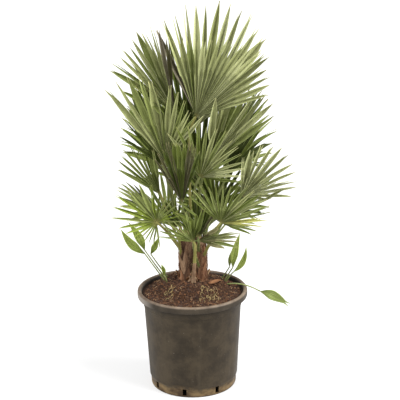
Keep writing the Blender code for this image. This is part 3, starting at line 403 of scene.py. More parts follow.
def leaflet_path(name, row, index, trial, steps=12):
    """Rib points, directions and blade normals of one leaflet; trial picks another bend."""
    mid, normal, side = axes(row)
    n = row["leaflets"]
    half = sides_of(row)
    phi = -half + 2 * half * (index + 0.5) / n
    q = abs(phi) / half
    length = row["length"] * smooth_mix(row["reach"], (index + 0.5) / n) * (1 + 0.04 * wobble(name, index, 1))
    flat = mid * math.cos(phi) + side * math.sin(phi)
    across = mid * -math.sin(phi) + side * math.cos(phi)
    cup = math.radians(row.get("cup", 6) + row.get("fold", 8) * q * q)
    d = flat * math.cos(cup) + normal * math.sin(cup)
    nn = normal * math.cos(cup) - flat * math.sin(cup)
    split = row["split"]
    shift, shrink = TRIALS[trial]
    lift = math.radians(shift + 3.0 * wobble(name, index, 2))
    sway = math.radians(1.6 * wobble(name, index, 3))
    droop = row["droop"] * (1 + 0.6 * wobble(name, index, 4))
    kink = KINKS.get((name, index))
    length *= shrink
    pts, dirs, norms = [Vector(row["hub"])], [d.copy()], [nn.copy()]
    kinked = False
    for k in range(1, steps + 1):
        s = k / steps
        if s > split:
            w = min((s - split) / 0.25, 1.0) / steps / max(1 - split, 0.2)
            turn = d.cross(nn).normalized()
            d = (Matrix.Rotation(-lift * 1.6 * w, 3, turn) @ d).normalized()
            d = (Matrix.Rotation(sway * 1.6 * w, 3, nn) @ d).normalized()
            down = Vector((0, 0, -1))
            d = (d + (down - d * d.dot(down)) * droop * s * 2.4 * w).normalized()
        if kink and not kinked and s >= kink[0]:
            d = Matrix.Rotation(math.radians(kink[1]), 3, nn) @ d
            d = Matrix.Rotation(math.radians(-kink[2]), 3, d.cross(nn).normalized()) @ d
            kinked = True
        nn = (nn - d * d.dot(nn)).normalized()
        pts.append(pts[-1] + d * (length / steps))
        dirs.append(d.copy())
        norms.append(nn.copy())
    return pts, dirs, norms, across, length


def at(values, s):
    x = min(max(s, 0.0), 1.0) * (len(values) - 1)
    k = min(int(x), len(values) - 2)
    return values[k].lerp(values[k + 1], x - k)


def valley(name, row, j, radius):
    """Point where leaflets j-1 and j part, at a set distance from the hub."""
    mid, normal, side = axes(row)
    n = row["leaflets"]
    half = sides_of(row)
    phi = -half + 2 * half * j / n
    q = abs(phi) / half
    flat = mid * math.cos(phi) + side * math.sin(phi)
    cup = math.radians(row.get("cup", 6) + row.get("fold", 8) * q * q)
    return Vector(row["hub"]) + (flat * math.cos(cup) + normal * math.sin(cup)) * radius


def split_radius(name, row, j):
    n = row["leaflets"]
    a = row["length"] * smooth_mix(row["reach"], j / n)
    return a * row["split"] * (1 + 0.10 * wobble(name, j, 7))


def half_width(row, u, base):
    """Half width of the free part of a leaflet: u runs from the split to the tip."""
    grow, taper = row.get("shape", (0.16, 2.7))
    return base * (1 + grow * min(u * 3.0, 1.0)) * max(0.0, 1 - u**taper)


RINGS = (0.34, 0.70)
TRIALS = [(0, 1.0), (9, 1.0), (-9, 1.0), (18, 1.0), (-18, 1.0), (0, 0.86), (12, 0.86), (-12, 0.86),
          (0, 0.72), (14, 0.72), (-14, 0.72), (0, 0.60), (20, 0.60), (-20, 0.60)]


def leaflet_rings(name, row, index, trial, fat=0.0):
    """Left, front, right and back points of each ring of the free part, and the tip."""
    n = row["leaflets"]
    pts, dirs, norms, across, length = leaflet_path(name, row, index, trial)
    rs = 0.5 * (split_radius(name, row, index) + split_radius(name, row, index + 1))
    s0 = min(rs / length, 0.8)
    left = valley(name, row, index, split_radius(name, row, index))
    right = valley(name, row, index + 1, split_radius(name, row, index + 1))
    base = (right - left).length * 0.5
    fold = row.get("vee", 0.55)
    thick = BLADE_THICK * 0.5 + fat
    c = at(pts, s0)
    nn = at(norms, s0).normalized()
    rings = [(left, c + nn * (thick - fold * base), right, c - nn * (thick + fold * base))]
    for u in RINGS:
        s = s0 + (1 - s0) * u
        c, d, nn = at(pts, s), at(dirs, s).normalized(), at(norms, s).normalized()
        w = d.cross(nn).normalized()
        if w.dot(across) < 0:
            w = -w
        h = half_width(row, u, base) + fat
        t = thick * (1.0 if u < 0.5 else 0.8)
        rings.append((c - w * h, c + nn * (t - fold * h), c + w * h, c - nn * (t + fold * h)))
    tip = at(pts, 1.0) - at(norms, 1.0) * fold * base * 0.4
    return rings, tip


def ring_tris(verts, rings, tip):
    """Triangles of a free leaflet, leaving its root open where it joins the blade."""
    faces = []
    for a, b in zip(rings[:-1], rings[1:]):
        for k in range(4):
            n = (k + 1) % 4
            faces.append((a[k], a[n], b[n]))
            faces.append((a[k], b[n], b[k]))
    last = rings[-1]
    for k in range(4):
        faces.append((last[k], last[(k + 1) % 4], tip))
    return faces


def loose_leaflet(rings, tip):
    """Stand-alone copy of a leaflet for the crossing test."""
    verts = [v for ring in rings for v in ring] + [tip]
    index = [[4 * r + k for k in range(4)] for r in range(len(rings))]
    faces = ring_tris(verts, index, len(verts) - 1) + [(3, 2, 1), (3, 1, 0)]
    return verts, faces


def blade_core(name, row, fat=0.0):
    """Fan around the hub joined to the short stalk end, as one thin body without leaflets."""
    return blade_mesh(name, row, {}, fat, plain_end=True)


def blade_mesh(name, row, chosen, fat=0.0, plain_end=False):
    mid, normal, side = axes(row)
    n = row["leaflets"]
    hub = Vector(row["hub"])
    r = STALK_TIP + fat
    verts = [hub + normal * (BLADE_THICK * 0.7 + fat), hub - normal * (BLADE_THICK * 0.7 + fat)]
    end = hub - mid * 0.010
    stub = []
    for v in (end + normal * r, end - side * r, end - normal * r, end + side * r):
        stub.append(len(verts))
        verts.append(v)
    front_pt, left_pt, back_pt, right_pt = stub
    inner = []
    for j in (0, n):
        inner.append(len(verts))
        verts.append(valley(name, row, j, 0.008))
    edge = []
    for j in range(n + 1):
        edge.append(len(verts))
        verts.append(valley(name, row, j, split_radius(name, row, j)))
    faces = []
    fold = row.get("vee", 0.55)
    for i in range(n):
        if i in chosen:
            rings, tip = chosen[i]
        else:
            rings, tip = leaflet_rings(name, row, i, 0)
            rings = rings[:1]
        f0, b0 = len(verts), len(verts) + 1
        lift = (rings[0][1] - rings[0][3]).normalized() * fat
        verts += [rings[0][1] + lift, rings[0][3] - lift]
        e0, e1 = edge[i], edge[i + 1]
        if i == 0:
            faces += [(0, inner[0], f0), (inner[0], e0, f0), (inner[0], 1, b0), (e0, inner[0], b0)]
        else:
            faces += [(0, e0, f0), (e0, 1, b0)]
        if i == n - 1:
            faces += [(0, f0, inner[1]), (inner[1], f0, e1), (1, inner[1], b0), (inner[1], e1, b0)]
        else:
            faces += [(0, f0, e1), (1, e1, b0)]
        if i in chosen:
            index = [[e0, f0, e1, b0]]
            for ring in rings[1:]:
                index.append([len(verts) + k for k in range(4)])
                verts += list(ring)
            verts.append(tip)
            faces += ring_tris(verts, index, len(verts) - 1)
        else:
            faces += [(e0, b0, f0), (f0, b0, e1)]
    a, b = inner
    faces += [(a, 0, front_pt), (a, front_pt, left_pt), (a, left_pt, back_pt), (a, back_pt, 1)]
    faces += [(b, front_pt, 0), (b, right_pt, front_pt), (b, back_pt, right_pt), (b, 1, back_pt)]
    if not row.get("fused") or plain_end:
        faces += [(front_pt, right_pt, back_pt), (front_pt, back_pt, left_pt)]
        return verts, faces
    points = list(reversed(stalk_curve(row, 8)[:-1]))
    ring = [front_pt, left_pt, back_pt, right_pt]
    along, front = -mid, normal
    for k, p in enumerate(points):
        ahead = points[k + 1] - p if k + 1 < len(points) else p - points[k - 1]
        along = ahead.normalized()
        if k == len(points) - 1 and seat_on_top(row):
            along = Vector((0, 0, -1))
        front = (front - along * front.dot(along)).normalized()
        across = (-along).cross(front)
        r = STALK_TIP + (STALK_BASE - STALK_TIP) * ((k + 1) / len(points)) ** 1.2 + fat
        new = [len(verts) + i for i in range(4)]
        verts += [p + front * r, p - across * r, p - front * r, p + across * r]
        for i in range(4):
            n2 = (i + 1) % 4
            faces += [(ring[i], ring[n2], new[n2]), (ring[i], new[n2], new[i])]
        ring = new
    faces += [(ring[0], ring[3], ring[2]), (ring[0], ring[2], ring[1])]
    return verts, faces


def stalk_mesh(name, row, fat=0.0):
    points = stalk_curve(row, 8)
    start, rise = seat_point(row)
    on_top = seat_on_top(row)
    kind = row["seat"][0]
    base = row.get("base", 1.55 if kind == "soil" else 1.0) * STALK_BASE
    radii = [base + (STALK_TIP - base) * (k / 7) ** 0.8 + fat for k in range(8)]
    return tube(points, radii, 5, Vector((0, 0, 1)) if on_top else None, axes(row)[0])


def tree_of(verts, faces):
    return BVHTree.FromPolygons([tuple(v) for v in verts], [tuple(f) for f in faces], all_triangles=False)


def box_of(verts):
    return [min(v[k] for v in verts) for k in range(3)], [max(v[k] for v in verts) for k in range(3)]


def boxes_touch(a, b):
    return all(a[0][k] <= b[1][k] and b[0][k] <= a[1][k] for k in range(3))


class Placed:
    """Everything placed so far, for the crossing test."""

    def __init__(self):
        self.items = []

    def add(self, name, verts, faces):
        self.items.append((name, box_of(verts), tree_of(verts, faces)))

    def hits(self, verts, faces, skip=()):
        box, tree = box_of(verts), None
        for name, other_box, other in self.items:
            if name in skip or not boxes_touch(box, other_box):
                continue
            if tree is None:
                tree = tree_of(verts, faces)
            if other.overlap(tree):
                return name
        return None


def strap_points(row):
    foot = Vector((row["foot"][0], row["foot"][1], soil_height(*row["foot"]) - 0.008))
    bend, throat, belly, tip = (Vector(row[k]) for k in ("bend", "throat", "belly", "tip"))
    stalk = []
    for k in range(5):
        t = k / 5
        stalk.append(foot * (1 - t) ** 2 + bend * (2 * t * (1 - t)) + throat * t * t)
    blade = []
    bow = belly * 2 - (throat + tip) * 0.5
    for k in range(6):
        t = k / 5
        blade.append(throat * (1 - t) ** 2 + bow * (2 * t * (1 - t)) + tip * t * t)
    return stalk, blade


def strap_mesh(name, row, fat=0.0):
    stalk, blade = strap_points(row)
    pts = stalk + blade
    widths = [0.0020] * 5 + [0.0024] + [row["half"] * w for w in (0.62, 1.0, 0.86, 0.46)]
    length = (blade[0] - blade[-1]).length
    thin = max(0.0007, length * 0.006)
    thick = [0.0020] * 5 + [0.0016] + [thin * 1.1] * 4
    verts, rings = [], []
    face = math.radians(row["face"])
    want = Vector((math.sin(face), -math.cos(face), 0.35)).normalized()
    for k in range(len(pts) - 1):
        d = (pts[k + 1] - pts[max(k - 1, 0)]).normalized()
        nn = (want - d * want.dot(d)).normalized()
        w = d.cross(nn)
        h, t = widths[k] + fat, thick[k] + fat
        fold = 0.35 * max(0.0, h - 0.003)
        rings.append([len(verts) + j for j in range(4)])
        p = pts[k]
        verts += [p - w * h, p + nn * (t - fold), p + w * h, p - nn * (t + fold)]
    verts.append(pts[-1])
    faces = ring_tris(verts, rings, len(verts) - 1) + [tuple(reversed(rings[0]))]
    return verts, faces


def husk_mesh(fat=0.0):
    pts = [Vector(p) for p in HUSK["points"]]
    verts, rings = [], []
    for k, p in enumerate(pts):
        d = (pts[min(k + 1, len(pts) - 1)] - pts[max(k - 1, 0)]).normalized()
        up = (Vector((0, 0, 1)) - d * d.z).normalized()
        w = d.cross(up)
        h, t = HUSK["halves"][k] + fat, HUSK["thick"] + fat
        rings.append([len(verts) + j for j in range(4)])
        verts += [p - w * h + up * h * 0.5, p + up * t, p + w * h + up * h * 0.5, p - up * t]
    faces = [tuple(reversed(rings[0])), tuple(rings[-1])]
    for a, b in zip(rings[:-1], rings[1:]):
        for k in range(4):
            n = (k + 1) % 4
            faces += [(a[k], a[n], b[n]), (a[k], b[n], b[k])]
    return verts, faces


def choose_bends():
    """The bend of every leaflet that keeps it clear of what is placed before it, as in the source."""
    placed = Placed()
    placed.add("soil", *soil_mesh(GAP))
    for name, row in STEMS.items():
        placed.add(name, *make_stem(name, row, GAP))
    placed.add("pot", *lathe([(RIM_RADIUS - 0.014, POT_HEIGHT - 0.02), (RIM_RADIUS + 0.001, POT_HEIGHT - 0.025),
                              (RIM_RADIUS + 0.001, POT_HEIGHT + 0.001),
                              (RIM_RADIUS - 0.014, POT_HEIGHT + 0.001)], 32))
    for name, row in FRONDS.items():
        placed.add("stalk_" + name, *stalk_mesh(name, row, CLEAR * 0.5))
    placed.add("fallen_husk", *husk_mesh(CLEAR * 0.5))
    for name, row in STRAPS.items():
        placed.add(name, *strap_mesh(name, row, CLEAR * 0.5))
    for name, row in FRONDS.items():
        placed.add("fan_" + name, *blade_core(name, row, CLEAR * 0.5))
    bends = {}
    for name, row in FRONDS.items():
        kept = []
        for i in range(row["leaflets"]):
            for trial in range(len(TRIALS)):
                verts, faces = loose_leaflet(*leaflet_rings(name, row, i, trial, CLEAR * 0.5))
                if placed.hits(verts, faces, skip=("fan_" + name,)) is None:
                    bends[name, i] = trial
                    kept.append((name, verts, faces))
                    break
        for item in kept:
            placed.add(*item)
    return bends


# Materials
def new_look(name, rough=0.5, specular=0.5):
    mat = bpy.data.materials.new(name)
    mat.use_nodes = True
    nodes, links = mat.node_tree.nodes, mat.node_tree.links
    shader = nodes["Principled BSDF"]
    shader.inputs["Roughness"].default_value = rough
    shader.inputs["Specular IOR Level"].default_value = specular
    return mat, nodes, links, shader


def socket(links, value, target):
    if hasattr(value, "is_linked"):
        links.new(value, target)
    else:
        target.default_value = value


def mix(nodes, links, factor, a, b, mode="MIX"):
    node = nodes.new("ShaderNodeMix")
    node.data_type = "RGBA"
    node.blend_type = mode
    socket(links, factor, node.inputs[0])
    for value, place in ((a, 6), (b, 7)):
        socket(links, value if hasattr(value, "is_linked") else (*value, 1.0), node.inputs[place])
    return node.outputs[2]


def ramp(nodes, links, value, low, high, out_low=0.0, out_high=1.0, smooth=True):
    node = nodes.new("ShaderNodeMapRange")
    node.interpolation_type = "SMOOTHSTEP" if smooth else "LINEAR"
    links.new(value, node.inputs[0])
    for k, number in enumerate((low, high, out_low, out_high)):
        node.inputs[k + 1].default_value = number
    return node.outputs[0]


def grain(nodes, links, vector, scale, detail=3.0, rough=0.6):
    node = nodes.new("ShaderNodeTexNoise")
    node.inputs["Scale"].default_value = scale
    node.inputs["Detail"].default_value = detail
    node.inputs["Roughness"].default_value = rough
    links.new(vector, node.inputs["Vector"])
    return node.outputs["Fac"]


def scaled(nodes, links, vector, scale):
    node = nodes.new("ShaderNodeMapping")
    node.inputs["Scale"].default_value = scale
    links.new(vector, node.inputs["Vector"])
    return node.outputs["Vector"]


def bumped(nodes, links, shader, height, strength, distance):
    node = nodes.new("ShaderNodeBump")
    node.inputs["Strength"].default_value = strength
    node.inputs["Distance"].default_value = distance
    links.new(height, node.inputs["Height"])
    links.new(node.outputs["Normal"], shader.inputs["Normal"])


def leaf_look(name, tint, rough=0.60, rib=0.26, hub=(0.24, 0.22, 0.07), tip=(0.33, 0.27, 0.13), tipped=0.30):
    """Ribbed leaf: the attribute holds the way along the leaflet, the way out from its rib and the
    distance from the hub. A second, face attribute adds painted light and shade to the two halves of each pleat."""
    mat, nodes, links, shader = new_look(name, rough, 0.11)
    place = nodes.new("ShaderNodeAttribute")
    place.attribute_name = "leaf"
    parts = nodes.new("ShaderNodeSeparateXYZ")
    links.new(place.outputs["Vector"], parts.inputs[0])
    along, out, far = parts.outputs
    coords = nodes.new("ShaderNodeTexCoord").outputs["Object"]
    pale = tuple(min(c * 1.5 + 0.05, 0.9) for c in tint)
    streak = grain(nodes, links, scaled(nodes, links, place.outputs["Vector"], (1.2, 10.0, 2.0)), 3.4)
    blotch = grain(nodes, links, coords, 30.0, 4.0)
    colour = mix(nodes, links, ramp(nodes, links, streak, 0.36, 0.64),
                 tuple(c * 0.58 for c in tint), tuple(c * 1.30 for c in tint))
    colour = mix(nodes, links, ramp(nodes, links, blotch, 0.46, 0.72, 0.0, 0.34), colour, pale)
    colour = mix(nodes, links, ramp(nodes, links, out, 0.12, 0.0, 0.0, rib), colour, pale)
    colour = mix(nodes, links, ramp(nodes, links, out, 0.90, 1.0, 0.0, 0.25), colour, pale)
    # Painted shadow: dark lines along the valleys between the leaflets in the joined part of the fan.
    painted_crease_shadow = nodes.new("ShaderNodeMath")
    painted_crease_shadow.operation = "MULTIPLY"
    links.new(ramp(nodes, links, along, 0.46, 0.36), painted_crease_shadow.inputs[0])
    links.new(ramp(nodes, links, out, 0.50, 1.0, 0.0, 0.90), painted_crease_shadow.inputs[1])
    colour = mix(nodes, links, painted_crease_shadow.outputs[0], colour, tuple(c * 0.25 for c in tint))
    colour = mix(nodes, links, ramp(nodes, links, far, 0.020, 0.003, 0.0, 0.70), colour, hub)
    colour = mix(nodes, links, ramp(nodes, links, along, 0.90, 0.995, 0.0, tipped), colour, tip)
    # The face attribute scales the colour: a random tone per leaflet times painted light and shade on the two halves of
    # each pleat; the colour is also darker towards the hub.
    side = nodes.new("ShaderNodeAttribute")
    side.attribute_name = "tone_and_shade"
    level = nodes.new("ShaderNodeMath")
    level.operation = "MULTIPLY"
    links.new(side.outputs["Fac"], level.inputs[0])
    links.new(ramp(nodes, links, along, 0.0, 0.9, 0.72, 1.14, False), level.inputs[1])
    shade = nodes.new("ShaderNodeVectorMath")
    shade.operation = "SCALE"
    links.new(colour, shade.inputs[0])
    links.new(level.outputs[0], shade.inputs["Scale"])
    links.new(shade.outputs[0], shader.inputs["Base Color"])
    wave = nodes.new("ShaderNodeMath")
    wave.operation = "SINE"
    times = nodes.new("ShaderNodeMath")
    times.operation = "MULTIPLY"
    times.inputs[1].default_value = 44.0
    links.new(out, times.inputs[0])
    links.new(times.outputs[0], wave.inputs[0])
    bumped(nodes, links, shader, wave.outputs[0], 0.25, 0.0003)
    return mat


def rough_look(name, dark, light, scale, rough=0.9, stretch=(1, 1, 1), bump=0.5, deep=0.001, spots=None):
    """Two tones mixed by noise, for bark, fibre, peat and stalks."""
    mat, nodes, links, shader = new_look(name, rough, 0.25)
    coords = scaled(nodes, links, nodes.new("ShaderNodeTexCoord").outputs["Object"], stretch)
    big = grain(nodes, links, coords, scale, 4.0)
    colour = mix(nodes, links, ramp(nodes, links, big, 0.33, 0.68), dark, light)
    if spots:
        small = grain(nodes, links, coords, scale * 4.3, 2.0)
        colour = mix(nodes, links, ramp(nodes, links, small, 0.58, 0.72, 0.0, 0.7), colour, spots)
    links.new(colour, shader.inputs["Base Color"])
    bumped(nodes, links, shader, grain(nodes, links, coords, scale * 2.6, 5.0), bump, deep)
    return mat


def pot_look():
    """Used grey-brown plastic: cloudy dust, drips down the wall, tan dirt on the foot, darker at the very bottom; a
    painted highlight on the lip crest and the left of the lip face, painted shade on the inner wall.
    """
    mat, nodes, links, shader = new_look("pot_dusty_plastic", 0.50, 0.18)
    coords = nodes.new("ShaderNodeTexCoord").outputs["Object"]
    parts = nodes.new("ShaderNodeSeparateXYZ")
    links.new(coords, parts.inputs[0])
    height = parts.outputs[2]
    cloud = grain(nodes, links, coords, 14.0, 6.0, 0.7)
    drips = grain(nodes, links, scaled(nodes, links, coords, (26.0, 26.0, 2.2)), 1.0, 5.0, 0.7)
    colour = mix(nodes, links, ramp(nodes, links, cloud, 0.32, 0.70), (0.017, 0.0120, 0.0064), (0.041, 0.0300, 0.0170))
    colour = mix(nodes, links, ramp(nodes, links, drips, 0.54, 0.80, 0.0, 0.45), colour, (0.062, 0.050, 0.034))
    edge = nodes.new("ShaderNodeMath")
    edge.operation = "ADD"
    links.new(height, edge.inputs[0])
    links.new(ramp(nodes, links, cloud, 0.2, 0.8, -0.018, 0.018, False), edge.inputs[1])
    dirt = ramp(nodes, links, edge.outputs[0], 0.040, 0.016)
    patch = grain(nodes, links, scaled(nodes, links, coords, (1.0, 1.0, 2.0)), 17.0, 4.0)
    dust = mix(nodes, links, ramp(nodes, links, patch, 0.38, 0.64), (0.036, 0.020, 0.008), (0.140, 0.094, 0.042))
    colour = mix(nodes, links, dirt, colour, dust)
    # Darker towards the bottom edge of the foot.
    bottom_darkening = ramp(nodes, links, height, 0.007, 0.001, 0.0, 0.75)
    colour = mix(nodes, links, bottom_darkening, colour, (0.030, 0.020, 0.012))
    lip = ramp(nodes, links, height, POT_HEIGHT - LIP_DROP - 0.002, POT_HEIGHT - LIP_DROP + 0.004)
    face = mix(nodes, links, ramp(nodes, links, cloud, 0.30, 0.72), (0.016, 0.0115, 0.007), (0.038, 0.029, 0.019))
    # Painted highlight: the left end of the lip face is paler.
    face = mix(nodes, links, ramp(nodes, links, parts.outputs[0], -0.115, -0.165, 0.0, 0.85), face, (0.200, 0.175, 0.148))
    colour = mix(nodes, links, lip, colour, face)
    # Painted highlight: the crest of the rim is paler.
    crest = ramp(nodes, links, height, POT_HEIGHT - 0.0075, POT_HEIGHT - 0.0015)
    crest_highlight = mix(nodes, links, ramp(nodes, links, cloud, 0.30, 0.72), (0.070, 0.048, 0.032), (0.170, 0.130, 0.094))
    colour = mix(nodes, links, crest, colour, crest_highlight)
    flat = nodes.new("ShaderNodeVectorMath")
    flat.operation = "LENGTH"
    links.new(scaled(nodes, links, coords, (1.0, 1.0, 0.0)), flat.inputs[0])
    # Painted shade: the inner wall above the soil is darkened.
    painted_inner_shade = nodes.new("ShaderNodeMath")
    painted_inner_shade.operation = "MULTIPLY"
    links.new(ramp(nodes, links, flat.outputs["Value"], RIM_RADIUS - 0.0110, RIM_RADIUS - 0.0150), painted_inner_shade.inputs[0])
    links.new(ramp(nodes, links, height, SOIL_EDGE_Z - 0.020, SOIL_EDGE_Z - 0.012), painted_inner_shade.inputs[1])
    colour = mix(nodes, links, painted_inner_shade.outputs[0], colour, (0.012, 0.0075, 0.004))
    specks = grain(nodes, links, coords, 190.0, 2.0)
    colour = mix(nodes, links, ramp(nodes, links, specks, 0.70, 0.78, 0.0, 0.35), colour, (0.26, 0.23, 0.19))
    links.new(colour, shader.inputs["Base Color"])
    links.new(ramp(nodes, links, drips, 0.3, 0.8, 0.46, 0.70), shader.inputs["Roughness"])
    bumped(nodes, links, shader, grain(nodes, links, coords, 120.0, 5.0), 0.22, 0.0006)
    return mat


LEAF_TINTS = {
    "sage_haze": (0.440, 0.460, 0.250), "sage_pale": (0.350, 0.368, 0.175), "sage": (0.250, 0.268, 0.110),
    "sage_green": (0.182, 0.210, 0.062), "green_mid": (0.122, 0.150, 0.030), "green_deep": (0.050, 0.066, 0.009),
    # The plum-grey tint is a painted shadow colour.
    "olive_pale": (0.240, 0.225, 0.100), "olive_dark": (0.075, 0.070, 0.030), "plum_grey": (0.150, 0.132, 0.088), "olive_brown": (0.118, 0.102, 0.044), "green_bright": (0.170, 0.215, 0.030),
    "leaf_yellow": (0.390, 0.385, 0.110), "under_pale": (0.200, 0.215, 0.095), "under_dark": (0.052, 0.060, 0.018),
    "young": (0.240, 0.295, 0.066), "young_bright": (0.300, 0.355, 0.095), "young_dark": (0.165, 0.200, 0.058),
    "young_under": (0.250, 0.295, 0.090), "straw": (0.420, 0.330, 0.140),
}
looks = {name: leaf_look(name, tint) for name, tint in LEAF_TINTS.items()}
# Stalks high in the crown get this darker stalk colour as painted shade; the low stalks keep the yellow-green one.
looks["stalk_shade"] = rough_look("stalk_shade", (0.070, 0.085, 0.022), (0.140, 0.155, 0.048), 30.0, 0.55,
                                  (1, 1, 0.15), 0.2, 0.0004)
looks["stalk_green"] = rough_look("stalk_green", (0.150, 0.140, 0.036), (0.250, 0.230, 0.068), 30.0, 0.5,
                                  (1, 1, 0.15), 0.2, 0.0004)
looks["stalk_base"] = rough_look("stalk_base", (0.160, 0.090, 0.050), (0.380, 0.260, 0.150), 40.0, 0.8,
                                 (1, 1, 0.12), 0.5, 0.0006)
looks["thorn"] = rough_look("thorn", (0.380, 0.320, 0.120), (0.480, 0.400, 0.180), 60.0, 0.5)
looks["bark_dark"] = rough_look("bark_dark", (0.034, 0.016, 0.009), (0.105, 0.052, 0.027), 60.0, 0.95,
                                (1, 1, 0.10), 1.0, 0.0012)
looks["bark_red"] = rough_look("bark_red", (0.095, 0.040, 0.019), (0.220, 0.105, 0.052), 60.0, 0.9,
                               (1, 1, 0.10), 0.9, 0.0010)
looks["bark_tan"] = rough_look("bark_tan", (0.150, 0.085, 0.046), (0.290, 0.190, 0.115), 60.0, 0.85,
                               (1, 1, 0.10), 0.7, 0.0008)
looks["fibre_brown"] = rough_look("fibre_brown", (0.075, 0.036, 0.020), (0.190, 0.100, 0.055), 70.0)
looks["fibre_pale"] = rough_look("fibre_pale", (0.300, 0.190, 0.100), (0.480, 0.330, 0.190), 70.0)
looks["husk"] = rough_look("husk_orange", (0.075, 0.030, 0.011), (0.170, 0.076, 0.030), 50.0, 0.8,
                           (1, 1, 1), 0.6, 0.0008)
looks["peat"] = rough_look("peat", (0.009, 0.0030, 0.0012), (0.032, 0.0130, 0.0045), 130.0, 0.98, (1, 1, 1), 1.0,
                           0.0016, (0.110, 0.052, 0.022))
looks["chip_dark"] = rough_look("chip_dark", (0.018, 0.010, 0.008), (0.050, 0.028, 0.020), 120.0)
looks["chip_brown"] = rough_look("chip_brown", (0.034, 0.014, 0.007), (0.078, 0.036, 0.017), 120.0)
looks["chip_red"] = rough_look("chip_red", (0.066, 0.026, 0.011), (0.130, 0.056, 0.023), 120.0)
looks["chip_tan"] = rough_look("chip_tan", (0.080, 0.040, 0.018), (0.170, 0.096, 0.046), 120.0)
looks["rootlet"] = rough_look("rootlet", (0.250, 0.180, 0.075), (0.400, 0.310, 0.140), 80.0, 0.7)
looks["pot"] = pot_look()


# Mesh makers
class Body:
    """Vertices, faces, a look for each face, the leaf attribute of each vertex, and for each face a random tone with
    painted light and shade.
    """

    def __init__(self):
        self.verts, self.faces, self.looks, self.marks, self.tones_and_shades = [], [], [], [], []

    def put(self, point, mark=(0.5, 0.5, 1.0)):
        self.verts.append(tuple(point))
        self.marks.append(mark)
        return len(self.verts) - 1

    def face(self, corners, look, tone_and_shade=1.0):
        self.faces.append(tuple(corners))
        self.looks.append(look)
        self.tones_and_shades.append(tone_and_shade)

    def add(self, other):
        base = len(self.verts)
        self.verts += other.verts
        self.marks += other.marks
        self.faces += [tuple(base + i for i in f) for f in other.faces]
        self.looks += other.looks
        self.tones_and_shades += other.tones_and_shades

    def thicken(self, thick, under):
        """Closes the open sheet to a thin solid; under maps the look of a face to that of its back."""
        co = np.array(self.verts)
        normal = np.zeros_like(co)
        for f in self.faces:
            a, b, c, d = (co[f[k % len(f)]] for k in range(4))
            n = np.cross(c - a, (d if len(f) == 4 else b) - (b if len(f) == 4 else a))
            n = n if len(f) == 4 else np.cross(b - a, c - a)
            for i in f:
                normal[i] += n
        normal /= np.maximum(np.linalg.norm(normal, axis=1), 1e-12)[:, None]
        count = len(co)
        edges = {}
        for f, look in zip(self.faces, self.looks):
            for k in range(len(f)):
                edges[f[k], f[(k + 1) % len(f)]] = look
        rim = [(e, look) for e, look in edges.items() if (e[1], e[0]) not in edges]
        self.verts = [tuple(v) for v in co + normal * thick * 0.5] + [tuple(v) for v in co - normal * thick * 0.5]
        self.marks = self.marks * 2
        back = [tuple(i + count for i in reversed(f)) for f in self.faces]
        back_looks = [under(look) for look in self.looks]
        self.faces += back
        self.looks += back_looks
        self.tones_and_shades += self.tones_and_shades
        for (a, b), look in rim:
            self.face((b, a, a + count, b + count), look)
        return self

    def piece(self, name, node, slot, smooth=True, angle=32, leaf=False):
        mesh = bpy.data.meshes.new(name)
        mesh.from_pydata(self.verts, [], self.faces)
        used = list(dict.fromkeys(self.looks))
        for look in used:
            mesh.materials.append(looks[look])
        where = {look: k for k, look in enumerate(used)}
        mesh.polygons.foreach_set("material_index", [where[look] for look in self.looks])
        if leaf:
            attribute = mesh.attributes.new("leaf", "FLOAT_VECTOR", "POINT")
            attribute.data.foreach_set("vector", [x for mark in self.marks for x in mark])
            # Face attribute: random tone per leaflet with painted light and shade on the pleat halves.
            attribute = mesh.attributes.new("tone_and_shade", "FLOAT", "FACE")
            attribute.data.foreach_set("value", self.tones_and_shades)
        if smooth:
            mesh.shade_smooth()
            mesh.set_sharp_from_angle(angle=math.radians(angle))
        mesh.update()
        obj = bpy.data.objects.new(name, mesh)
        scene.collection.objects.link(obj)
        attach(obj, "root")
        if node:
            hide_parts(node)
        return obj


def spline(values, t):
    """Smooth curve through evenly spaced points."""
    x = min(max(t, 0.0), 1.0) * (len(values) - 1)
    k = min(int(x), len(values) - 2)
    u = x - k
    p1, p2 = values[k], values[k + 1]
    p0 = values[k - 1] if k > 0 else p1 * 2 - p2
    p3 = values[k + 2] if k + 2 < len(values) else p2 * 2 - p1
    return (p1 * 2 + (p2 - p0) * u + (p0 * 2 - p1 * 5 + p2 * 4 - p3) * u * u
            + (p1 * 3 - p0 - p2 * 3 + p3) * u**3) * 0.5


def rod(body, points, radius, look, sides=3, taper=1.0, front=None):
    """Thin closed strand along points, narrowing to taper times its radius."""
    side = None
    rings = []
    last = len(points) - 1
    for k, p in enumerate(points):
        t = (points[min(k + 1, last)] - points[max(k - 1, 0)]).normalized()
        if side is None:
            side = t.cross(front or Vector((0.31, 1.0, 0.17))).normalized()
        side = (side - t * side.dot(t)).normalized()
        other = t.cross(side)
        r = radius * (1 + (taper - 1) * k / last)
        rings.append([body.put(p + (side * math.cos(2 * math.pi * j / sides)
                                    + other * math.sin(2 * math.pi * j / sides)) * r) for j in range(sides)])
    for a, b in zip(rings[:-1], rings[1:]):
        for j in range(sides):
            n = (j + 1) % sides
            body.face((a[j], a[n], b[n], b[j]), look)
    body.face(reversed(rings[0]), look)
    body.face(rings[-1], look)


# Fan blades
HALF = (0.0, 0.07, 0.30, 0.55, 0.80, 1.0)
INNER, OUTER = 8, 24


def leaflet_half(row, u, base):
    """As half_width of the source, but blunter towards the tip."""
    grow, taper = row.get("shape", (0.16, 2.7))
    return 0.92 * base * (1 + grow * min(u * 3.0, 1.0)) * max(0.10, 1 - u**(taper * 1.5))


